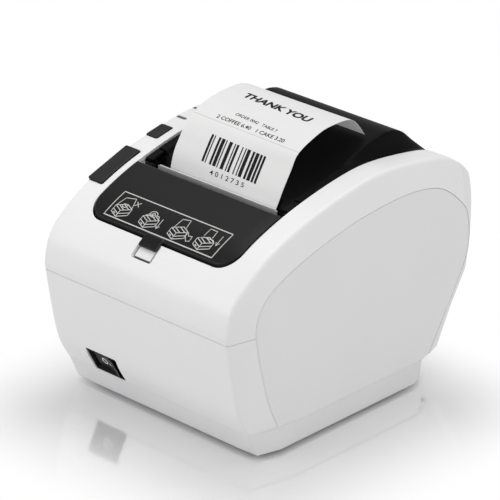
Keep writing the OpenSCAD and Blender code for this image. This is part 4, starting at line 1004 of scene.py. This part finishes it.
key("Open_button", OPEN_BUTTON_Y, OPEN_BUTTON_SIZE, 0.6, (-12, 2.2, 15.8))
BOARD_Z, BOARD_THICKNESS, FEED_SWITCH_ROOM = CREST - 18, 1.6, 4.4
feed_depth = float(top_height(FEED_BUTTON_Y)) - BOARD_Z - BOARD_THICKNESS - FEED_SWITCH_ROOM
key("Feed_button", FEED_BUTTON_Y, FEED_BUTTON_SIZE, 0.5, (0, 1.6, feed_depth))
springs("Open_button_spring", [on_top(SHOULDER_X, OPEN_BUTTON_Y) @ Matrix.Translation((0.8, 7, -14.1))],
        turns=4.5, radius=2.2, wire_radius=0.38, length=5.5, node="open_button_spring")

# --- Indicator lenses ------------------------------------------------------------------------------------
# Three smoked acrylic light guides fill a row of small slots behind the feed button, nearly flush with the
# shoulder. They are dark until the lamps under them are lit.

smoked = moulded("Smoked acrylic", (96, 98, 100), 0.18, texture=1.2, relief=0.003, edge=0.15, vary=0.08,
                 clear=0.6)
smoked.paint({"Transmission Weight": 0.25})
LENS_GAP = 0.12
lens_outline = rounded(LENS_SIZE[0] - 2 * LENS_GAP, LENS_SIZE[1] - 2 * LENS_GAP, 0.7, 5)
lens = plate(lens_outline, level(0.02), level(-3.0), 0.18, (1.2, 0.8))
lenses = shape("Indicator_lenses", *joined([set_at(on_top(SHOULDER_X, y), lens) for y in LENS_Y]))
done(lenses, smoked, "chassis", ["indicator_lenses"], 28)

# --- Front cover -----------------------------------------------------------------------------------------
# A black cover over the cutter, moulded as a curved plate with a finger tab on its front edge. It hinges on
# two pins at its back, and small line drawings printed across its front show how a roll goes in.

COVER_X, COVER_FRONT, COVER_ROUND = OPENING_X - 0.6, OPENING_FRONT + 1.2, 10.4
step_y = float(front_hinge[0]) - 3


def cover_top(x, y):
    """The front cover's outer face, a little proud of the white top."""
    return top_height(y) + 1.0


def cover_under(x, y):
    """The front cover's inner face."""
    return top_height(y) - 2.0


left_corner = arc((-COVER_X + COVER_ROUND, COVER_FRONT + COVER_ROUND), COVER_ROUND, 180, 271, 7.5)
right_corner = (left_corner * (-1, 1))[::-1]
sides = [np.c_[np.full(9, s * COVER_X), np.linspace(a, b, 9)] for s, a, b in (
    (1, COVER_FRONT + COVER_ROUND + 3, step_y), (-1, step_y, COVER_FRONT + COVER_ROUND + 3))]
front_outline = np.vstack([left_corner, right_corner, sides[0], sides[1]])
front_cover = shape("Front_cover", *plate(front_outline, cover_top, cover_under, 0.7, (10, 1.6)))
bar_x = COVER_X - 0.5
step_height = float(top_height(step_y))
beam = [(step_y - 1, step_height - 1.9), (step_y - 1, step_height + 0.6), (step_y + 0.2, step_height + 0.6),
        (step_y + 1.2, step_height - 0.2), (front_hinge[0] + 0.6, front_hinge[1] + 2.1),
        (front_hinge[0] - 1.5, front_hinge[1] - 1.4)]


def rod(at, radius, x0, x1):
    """A round bar along X with eased ends."""
    edge, rings = 0.25, []
    for x, r in ((x0, radius - edge), (x0 + edge, radius), (x1 - edge, radius), (x1, radius - edge)):
        rings.append(at_x(x, arc(at, r)))
    return tube(rings)


TAB_WIDTH, TAB_LENGTH, TAB_OUT = 12.8, 8.2, 1.7


def tab_top(x, y):
    """Top of the finger tab, dished for a fingertip."""
    return 1.25 - 0.3 * np.clip(1 - (x / 5) ** 2, 0, 1) * np.clip(1 - ((y + 0.6) / 2.6) ** 2, 0, 1)


tab = set_at(on_top(TAB_X, COVER_FRONT - TAB_OUT),
             plate(rounded(TAB_WIDTH, TAB_LENGTH, 1.2, 6), tab_top, level(0.12), 0.5, (1.2, 1.0)))
for extra in (through(beam, -bar_x, bar_x), rod(front_hinge, 2.2, -bar_x, bar_x),
              rod(front_hinge, 1.2, -OPENING_X - 2.0, OPENING_X + 2.0), tab):
    carve(front_cover, *extra, "UNION")
done(front_cover, satin_black, "front_cover", ["front_cover"], 28)


def drawn(strokes, width, lift, place):
    """Flat strokes laid on a surface: paths in the flat, then put by place(x, y, lift)."""
    parts = []
    for stroke in strokes:
        closed = len(stroke) > 2 and stroke[0] == stroke[-1]
        path = stroke[:-1] if closed else stroke
        dense = []
        for a, b in zip(path, path[1:] + (path[:1] if closed else [])):
            count = max(1, int(math.dist(a, b) / 1.2))
            dense += [tuple(np.add(a, np.subtract(b, a) * t / count)) for t in range(count)]
        if not closed:
            dense.append(path[-1])
        points, faces = ribbon(dense, width, closed)
        parts.append((place(points[:, 0], points[:, 1], lift), faces))
    return joined(parts)


def on_front_cover(x, y, lift):
    """Points lifted off the front cover."""
    return np.c_[x, y, cover_top(x, y) + lift]


def oblique(at, width, depth, height):
    """The edges of a small printer drawn from above: its body, the seams on it and its slot."""
    base, up = np.array(at), np.array([0, height])
    right, left = base + (width * 0.86, width * 0.32), base + (-depth * 0.86, depth * 0.32)
    back = right + left - base

    def between(a, b, t):
        return tuple(a + (b - a) * t)

    def line(*points):
        return [tuple(p) for p in points]

    strokes = [line(base, right, right + up, back + up, left + up, left, base),
               line(left + up, base + up, right + up), line(base, base + up)]
    strokes += [[between(left + up, back + up, t), between(base + up, right + up, t)] for t in (0.3, 0.72)]
    strokes.append([between(p, p + up, 0.45) for p in (left, base, right)])
    strokes.append([between(base + up * 0.2, left + up * 0.2, t) for t in (0.35, 0.7)])
    return strokes


def arrow(tail, head, size):
    """A line with a barbed end."""
    t, h = np.array(tail), np.array(head)
    way = (h - t) / np.linalg.norm(h - t)
    side = np.array([-way[1], way[0]])
    return [[tuple(t), tuple(h)], [tuple(h - size * way + size * 0.7 * side), tuple(h),
                                   tuple(h - size * way - size * 0.7 * side)]]


def ring_path(at, radius):
    """A ring seen from the same side as the small printer."""
    return [(at[0] + radius * math.cos(t), at[1] + radius * 0.62 * math.sin(t))
            for t in np.linspace(0, 2 * math.pi, 14)[:-1]] + [(at[0] + radius, at[1])]


frame_path = [(-39.6, -63.2), (38.7, -63.2), (37.8, -78.0), (-40.7, -77.8), (-39.6, -63.2)]
thin = [
    [(-37.6, -71.6), (-35.6, -66.2), (-29.4, -64.9), (-27.2, -70.6)], ring_path((-32.6, -70.4), 1.6),
    [(-27.4, -66.0), (-24.4, -68.6)], [(-27.4, -68.6), (-24.4, -66.0)],
    [(-17.2, -71.4), (-15.0, -69.4), (-8.4, -69.2), (-7.2, -71.2)], ring_path((-12.6, -69.0), 2.6),
    ring_path((-12.6, -69.0), 1.0), [(4.2, -71.3), (5.4, -65.6), (10.4, -64.8), (11.4, -69.6)],
    [(16.6, -75.4), (14.4, -73.2), (13.6, -71.4), (14.6, -71.0), (16.0, -72.6), (18.4, -72.2), (18.8, -74.8),
     (16.6, -75.4)], [(22.4, -71.4), (24.8, -70.2), (31.2, -70.0), (32.6, -71.3)],
    [(24.2, -69.4), (24.6, -64.9), (29.4, -64.9), (29.8, -69.2)]]
thin += arrow((-5.0, -69.6), (-5.0, -75.4), 1.7) + arrow((34.8, -66.2), (34.8, -72.0), 1.7)
for corner_x in (-33, -13.0, 8.0, 26.4):
    thin += oblique((corner_x, -77.0), 7.4, 5.6, 3.6)
cover_print = moulded("Light grey pad print", (196, 196, 194), 0.5, relief=0.004, edge=0.05)
for name, strokes, width in (("Roll_drawing_frame", [frame_path], 0.55), ("Roll_drawings", thin, 0.42)):
    print_piece = shape(name, *drawn(strokes, width, 0.035, on_front_cover))
    done(print_piece, cover_print, "front_cover")

# --- Paper cover -----------------------------------------------------------------------------------------
# A large black cover closes the roll bay and carries the platen on its front edge. It is one moulding: a
# raised hump over the roll, two low strips along its sides, and a lip that guides the receipt out.

HUMP_X, RAMP_X = 43.6, 47.6
WELL_Z = 114.2
NIP_Y = -31.2
hump = smooth([(FRONT + 70.5, CREST - 9.6), (FRONT + 82, CREST - 7.6), (FRONT + 96, CREST - 4.4),
               (REAR - 70, CREST + 4.2), (REAR - 58, CREST + 6.7), (REAR - 48.6, CREST + 7.4),
               (REAR - 39, CREST + 4.6), (REAR - 30, CREST - 3), (REAR - 16, CREST - 15),
               (REAR - 8.4, HINGE[1] + 1.4), (REAR - 4.2, HINGE[1] - 3.5)], 6)
strip_rows = moved(upper_curve, 0.8)
strip_rows = strip_rows[(strip_rows[:, 1] > HINGE[1] - 5) & (strip_rows[:, 0] > FRONT + 58)]
dense = np.vstack([a + (b - a) * t for a, b in zip(strip_rows, strip_rows[1:])
                   for t in np.linspace(0, 1, 12)[:-1]])
near_rows = []
for p in hump:
    lean = min(1.0, max(0.0, (p[0] - 40) / 30))
    gap = dense - p
    near_rows.append(np.argmin(gap[:, 0] ** 2 * (1 - 0.5 * lean) + gap[:, 1] ** 2 * (0.05 + 0.5 * lean)))
strip = dense[np.maximum.accumulate(near_rows)]

columns = [(x, 1.0, 0.0) for x in (0, 12, 24, 34, 41, HUMP_X)]
for t in np.linspace(0, 1, 12)[1:]:
    columns.append((HUMP_X + (RAMP_X - HUMP_X) * t, 1 - t * t * (3 - 2 * t), 0.0))
columns += [(50, 0.0, 0.0), (51.2, 0.0, 0.0), (51.65, 0.0, 0.14), (51.9, 0.0, 0.5)]
columns = [(-x, w, d) for x, w, d in reversed(columns[1:])] + columns
COVER_WALL = 2.0
outer, inner = [], []
for x, weight, dip in columns:
    line = hump * weight + strip * (1 - weight)
    outer.append(at_x(x, moved(line, dip)))
    inner.append(at_x(x, moved(line, COVER_WALL)))


def slab(upper, lower, wide):
    """A closed sheet from the points of its two faces, in rows of wide points."""
    total = len(upper)
    starts = [(k, k % wide < wide - 1, k < total - wide) for k in range(total)]
    faces = []
    for a in [k for k, in_row, in_rows in starts if in_row and in_rows]:
        faces.append((a, a + 1, a + wide + 1, a + wide))
        faces.append((total + a, total + a + wide, total + a + wide + 1, total + a + 1))
    rims = [(k, 1) for k, in_row, in_rows in starts if in_row and (k < wide or not in_rows)]
    rims += [(k, wide) for k, in_row, in_rows in starts if in_rows and (k % wide == 0 or not in_row)]
    faces += [(a, a + d, total + a + d, total + a) for a, d in rims]
    return np.vstack([upper, lower]), faces


paper_cover = shape("Paper_cover", *slab(np.vstack(outer), np.vstack(inner), len(hump)))
lip_y, hump_foot = NIP_Y + 0.9, hump[0][1]
lip = [tuple(hump[0] + (0, 0.02)), (lip_y + 2.4, hump_foot - 1.5), (lip_y + 0.4, hump_foot - 4.4),
       (lip_y, WELL_Z), (lip_y + 1.4, WELL_Z), (lip_y + 1.9, hump_foot - 4.8), tuple(hump[0] + (1.2, -1.9)),
       tuple(hump[0] + (1.2, 0.1))]
additions = [through(lip, -46, 46)]
front_strip = smooth([p for p in upper_curve if -37.2 < p[0] < -24], 3)
for side in (-1, 1):
    strip_top = moved(front_strip, 0.8)
    strip_under = moved(front_strip, 2.8)
    loop = np.vstack([strip_top, strip_under[::-1]])
    lowered = np.vstack([moved(front_strip, 1.3), strip_under[::-1]])
    additions.append(tube([at_x(side * 46.6, lowered), at_x(side * 47.1, loop), at_x(side * 51.4, loop),
                           at_x(side * 51.88, lowered)]))
    additions.append(block((side * 42.7, side * 47.0), (NIP_Y - 3.4, NIP_Y + 2), (WELL_Z, WELL_Z + 1.4)))
    wall = [(NIP_Y - 3.4, WELL_Z), (NIP_Y + 6, WELL_Z), (NIP_Y + 6, CREST - 9.7), (NIP_Y - 3.4, CREST - 13.0)]
    additions.append(through(wall, side * 45.8, side * 47.0))
    rib_low, rib_high = [[p for p in curve if FRONT + 74 < p[0] < HINGE[0] - 8 and p[1] > 100]
                         for curve in (moved(upper_curve, 0.8) - (0, 3.9), moved(hump, 1.0))]
    additions.append(through(rib_high + rib_low[::-1], side * 42.6, side * 43.8))
    knuckle = np.vstack([arc(HINGE, 3.6, 180, 361), HINGE + (1.6, 5.2), HINGE + (-5, 12)])
    additions.append(through(knuckle, side * 28, side * 34))
for extra in additions:
    carve(paper_cover, *extra, "UNION")
carve(paper_cover, *through(arc(HINGE, 1.75), -60, 60))
EAR_NEAR, EAR_FAR = 38.85, 42.75
for side in (-1, 1):
    carve(paper_cover, *through(arc(HINGE, 5.0), side * EAR_NEAR, side * EAR_FAR))
    carve(paper_cover, *block((side * EAR_NEAR, side * EAR_FAR), (HINGE[0] - 2, REAR),
                              (HINGE[1] - 12, HINGE[1] + 2.6)))
done(paper_cover, hump_black, "paper_cover", ["paper_cover"], 34)

# --- Receipt ---------------------------------------------------------------------------------------------
# A printed receipt stands in the exit slot and curls back over the hump, as thermal paper does off a roll.
# The print is thermal: dark grey marks that lie in the coating.

left_edge = smooth([
    (-32.2, 114.2), (-31.5, 118.6), (-30.0, 124.1), (-28.0, 128.6), (-25.2, 132.9), (-21.6, 138.2),
    (-15.6, 143.8), (-6.6, 148.0), (4.0, 150.2), (14.0, 150.9), (23.5, 150.0), (32.6, 145.4),
    (35.4, 139.2)], 8)
right_edge = smooth([
    (-32.2, 114.2), (-31.2, 117.2), (-29.2, 120.7), (-26.2, 126.0), (-20.3, 135.2), (-14.8, 143.1),
    (-2.3, 148.7), (9.0, 151.1), (25.8, 149.8), (35.9, 138.7)], 8)
PAPER_X = 37.95


def along(curve, marks, places):
    """Points of a curve at those places, where marks says how far along each of its own points is."""
    return np.c_[np.interp(places, marks, curve[:, 0]), np.interp(places, marks, curve[:, 1])]


def by_length(curve, count):
    """The curve cut into equal steps."""
    run = np.r_[0, np.cumsum(np.linalg.norm(np.diff(curve, axis=0), axis=1))]
    places = np.linspace(0, run[-1], count)
    return along(curve, run, places), run[-1]


ACROSS, ALONG = 25, 97
paper_left, left_length = by_length(left_edge, ALONG)
paper_right, right_length = by_length(right_edge, ALONG)


def on_receipt(x, s, lift):
    """Points on the receipt: x across, s from 0 at the slot to 1 at its end, lifted off its printed face."""
    x, s = np.asarray(x, float), np.asarray(s, float)
    marks = np.arange(ALONG) / (ALONG - 1)

    def spot(s):
        a, b = along(paper_left, marks, s), along(paper_right, marks, s)
        t = ((x / PAPER_X + 1) / 2)[:, None]
        t = t * t * (3 - 2 * t) * 0.35 + t * 0.65
        return a + (b - a) * t

    ahead = spot(np.minimum(s + 0.01, 1)) - spot(np.maximum(s - 0.01, 0))
    ahead /= np.linalg.norm(ahead, axis=1)[:, None]
    return np.c_[x, spot(s) + lift * np.c_[-ahead[:, 1], ahead[:, 0]]]


PAPER_THICK = 0.12
grid_x, grid_s = np.meshgrid(np.linspace(-PAPER_X, PAPER_X, ACROSS), np.linspace(0, 1, ALONG))
paper_faces = [on_receipt(grid_x.ravel(), grid_s.ravel(), lift) for lift in (0.0, -PAPER_THICK)]
receipt = shape("Receipt", *slab(*paper_faces, ACROSS))
done(receipt, paper, "paper_cover", ["receipt"], 50)
receipt_ink = moulded("Thermal print", (19, 19, 20), 0.7, texture=0.4, relief=0.003, edge=0.05, vary=0.12)
receipt_ink.paint({"Specular IOR Level": 0.2})
RECEIPT_LENGTH = (left_length + right_length) / 2
printed, PRINT_LIFT = [], 0.03


def words(text, x, s, high, bold=0.0):
    """Text laid across the receipt from x[0], s[0] to x[1], s[1], its capitals high millimetres tall."""
    curve = bpy.data.curves.new("words", "FONT")
    curve.body = text
    curve.offset = bold
    writing = linked("words", curve)
    mesh = bpy.data.meshes.new_from_object(writing.evaluated_get(bpy.context.evaluated_depsgraph_get()))
    fine = bmesh.new()
    fine.from_mesh(mesh)
    bmesh.ops.triangulate(fine, faces=fine.faces)
    bmesh.ops.subdivide_edges(fine, edges=fine.edges, cuts=2, use_grid_fill=True)
    fine.to_mesh(mesh)
    fine.free()
    letters = np.array([tuple(v.co) for v in mesh.vertices])
    outline = [tuple(f.vertices) for f in mesh.polygons]
    bpy.data.objects.remove(writing)
    bpy.data.curves.remove(curve)
    bpy.data.meshes.remove(mesh)
    t = (letters[:, 0] - letters[:, 0].min()) / np.ptp(letters[:, 0])
    tall = (letters[:, 1] - letters[:, 1].min()) / np.ptp(letters[:, 1])
    line = s[0] + (s[1] - s[0]) * t + tall * high / RECEIPT_LENGTH
    printed.append((on_receipt(x[0] + (x[1] - x[0]) * t, line, PRINT_LIFT), outline))


def bar(x0, x1, s0, s1):
    """A printed rectangle on the receipt."""
    count = max(2, int((s1 - s0) * RECEIPT_LENGTH / 2))
    s = np.linspace(s0, s1, count)
    points = np.vstack([on_receipt(np.full(count, x), s, PRINT_LIFT) for x in (x0, x1)])
    printed.append((points, [(k, k + count, k + count + 1, k + 1) for k in range(count - 1)]))


words("THANK YOU", (-24.5, 25.0), (0.645, 0.612), 5.6, 0.045)
words("ORDER 0042   TABLE 7", (-14.5, 16.0), (0.472, 0.455), 2.0, 0.014)
words("2 COFFEE 6.40   1 CAKE 3.20", (-23.0, 25.0), (0.41, 0.403), 2.5, 0.018)
bars = [2, 1, 1, 3, 2, 1, 3, 1, 1, 2, 3, 2, 1, 1, 2, 3, 1, 2, 1, 1, 3, 2, 2, 1, 3, 1, 2, 1, 2]
CODE_LEFT, CODE_WIDTH, CODE_LOW, CODE_HIGH, CODE_SLANT = -18.5, 38.5, 0.135, 0.3, 0.0004
bar_left = CODE_LEFT
for k, width in enumerate(bars):
    bar_right = bar_left + width * (CODE_WIDTH / sum(bars))
    if k % 2 == 0:
        bar(bar_left, bar_right, CODE_LOW - bar_left * CODE_SLANT, CODE_HIGH - bar_left * CODE_SLANT)
    bar_left = bar_right
words("4 0 1 2 7 3 5", (-11.0, 13.0), (0.087, 0.083), 2.6, 0.01)
receipt_print = shape("Receipt_print", *joined(printed))
done(receipt_print, receipt_ink, "paper_cover")
# Painted shade: a thin light grey line across the receipt stands for the shading of a fold crease in the
# paper.
CREASE_SHADE_AT, CREASE_SHADE_SLANT, CREASE_SHADE_WIDTH, CREASE_SHADE_LIFT = 0.385, 0.00018, 0.004, 0.02
crease_shade_run = np.linspace(-PAPER_X, PAPER_X, ACROSS)
crease_shade_points = np.vstack([on_receipt(crease_shade_run, CREASE_SHADE_AT - crease_shade_run * CREASE_SHADE_SLANT + wider, CREASE_SHADE_LIFT)
                        for wider in (0.0, CREASE_SHADE_WIDTH)])
crease_shade_line = shape("Receipt_crease_shade_line", crease_shade_points,
                 [(k, k + 1, k + 1 + ACROSS, k + ACROSS) for k in range(ACROSS - 1)])
crease_shade_ink = moulded("Painted crease shade", (196, 196, 198), 0.6, texture=0.4, relief=0.003, edge=0.05)
done(crease_shade_line, crease_shade_ink, "paper_cover")

# --- Tear bar --------------------------------------------------------------------------------------------
# A thin strip of stainless steel stands in front of the exit slot, on a short foot at each end. Fine teeth
# are blanked along its upper edge, and the receipt is torn off against them.

steel = worked("Brushed stainless steel", (1.2, 3.0, 0.6, (0.05, 1.0, 1.0)), (214, 215, 216), (238, 238, 239),
               (0.46, 0.18), (0.4, 0.008), 0.12, metal=0.7)
TEETH, TOOTHED_X, SHOULDER, ROOT, TIP = 101, 42.0, 119.2, 119.55, 119.9
pitch = 2 * TOOTHED_X / TEETH
comb = [(-42.9, 110.9), (-41.2, 110.9), (-41.2, 111.9), (41.2, 111.9), (41.2, 110.9), (42.9, 110.9),
        (42.9, SHOULDER), (TOOTHED_X, SHOULDER)]
for k in range(TEETH, 0, -1):
    comb += [((k - 0.5) * pitch - TOOTHED_X, TIP), ((k - 1) * pitch - TOOTHED_X, ROOT)]
comb = np.array(comb + [(-42.9, SHOULDER)])
tear_bar = shape("Tear_bar", *tube([np.insert(comb, 1, y, axis=1) for y in (-35.95, -35.25)]))
done(tear_bar, steel, "chassis", ["tear_bar"], 30)

# --- Stage -----------------------------------------------------------------------------------------------
# The printer stands on a gloss white table under soft studio light. The table turns to plain white round it,
# and the camera looks down with a long lens from beyond its front right corner.

FLOOR = (-6.0, 6.0)
floor_mesh = bpy.data.meshes.new("Floor")
floor_mesh.from_pydata([(x, y, 0) for x, y in corners(FLOOR, FLOOR)], [], [(0, 1, 2, 3)])
floor = linked("Floor", floor_mesh)
table = Finish("Gloss white table")
# Near the printer the table shows its real lit shading and shadow; the blend to plain white over a box set
# off towards the front right is painted shade, and sets how far that shadow reaches.
reach = []
for axis, half_size, middle in (("X", 0.0625, 0.0225), ("Y", 0.0625, -0.0375)):
    place = table.node("SeparateXYZ", {}, {"Vector": table.here()}, axis) - middle
    outside = table.sum("MAXIMUM", table.sum("ABSOLUTE", place, 0.0) - half_size, 0.0)
    reach.append(outside * outside)
far_off = table.sum("SQRT", reach[0] + reach[1], 0.0)
FADE_START, FADE_END = 0.004, 0.078
fade = table.node("MapRange", {"interpolation_type": "SMOOTHSTEP"}, {
    0: far_off, 1: FADE_START, 2: FADE_END, 3: 0.0, 4: 1.0})
table.paint({"Base Color": linear((236, 236, 237)), "Roughness": 0.35, "Specular IOR Level": 0.2})
mirror = table.node("BsdfAnisotropic", {}, {"Color": (1, 1, 1, 1), "Roughness": 0.1})
MIRRORED = 0.42
gloss = table.node("MixShader", {}, {0: MIRRORED, 1: Wire(table, table.shader.outputs[0]), 2: mirror})
seen = table.node("LightPath", {}, {}, "Is Camera Ray")
dim_white, full_white = [table.node("Emission", {}, {"Color": (1, 1, 1, 1), "Strength": strength})
                         for strength in (0.78, 1.0)]
clear_white = table.node("MixShader", {}, {0: seen, 1: dim_white, 2: full_white})
table.join(table.node("MixShader", {}, {0: fade, 1: gloss, 2: clear_white}), table.end.inputs[0])
floor.data.materials.append(table.material)

world = bpy.data.worlds.new("Studio")
bpy.context.scene.world = world
world.use_nodes = True
sky = world.node_tree
sky.nodes.clear()
either = sky.nodes.new("ShaderNodeMixShader")
sky.links.new(sky.nodes.new("ShaderNodeLightPath").outputs["Is Camera Ray"], either.inputs[0])
LIT_BY, SEEN_AS = 0.55, 1.0
for socket, strength in ((1, LIT_BY), (2, SEEN_AS)):
    white = sky.nodes.new("ShaderNodeBackground")
    white.inputs["Color"].default_value = (1, 1, 1, 1)
    white.inputs["Strength"].default_value = strength
    sky.links.new(white.outputs[0], either.inputs[socket])
sky.links.new(either.outputs[0], sky.nodes.new("ShaderNodeOutputWorld").inputs[0])


def lamp(name, place, height, size, power):
    """A soft square studio lamp that looks at that height over the table's middle."""
    light = bpy.data.lights.new(name, "AREA")
    light.shape = "RECTANGLE"
    light.size = light.size_y = size
    light.energy = power
    thing = linked(name, light)
    thing.location = place
    thing.rotation_euler = (Vector((0, 0, height)) - Vector(place)).to_track_quat("-Z", "Y").to_euler()


lamp("Overhead lamp", (-0.1, 0.1, 1.3), 0.05, 1.2, 7.0)
lamp("Front lamp", (-0.7, -1.3, 0.8), 0.07, 0.9, 6.6)
lamp("Side lamp", (1.4, 0.1, 0.7), 0.07, 0.8, 3.6)

LENS_MM, TURN, DOWN = 238.4, math.radians(43.98), math.radians(24.66)
camera_data = bpy.data.cameras.new("Camera")
camera_data.sensor_width, camera_data.lens = 36, LENS_MM
camera_data.clip_start, camera_data.clip_end = 0.05, 20
camera = linked("Camera", camera_data)
camera.location = (1.1024, -1.1533, 0.8045)
look = Vector((-math.sin(TURN) * math.cos(DOWN), math.cos(TURN) * math.cos(DOWN), -math.sin(DOWN)))
camera.rotation_euler = look.to_track_quat("-Z", "Y").to_euler()
bpy.context.scene.camera = camera
bpy.context.scene.view_settings.view_transform = "Standard"

bpy.context.view_layer.update()
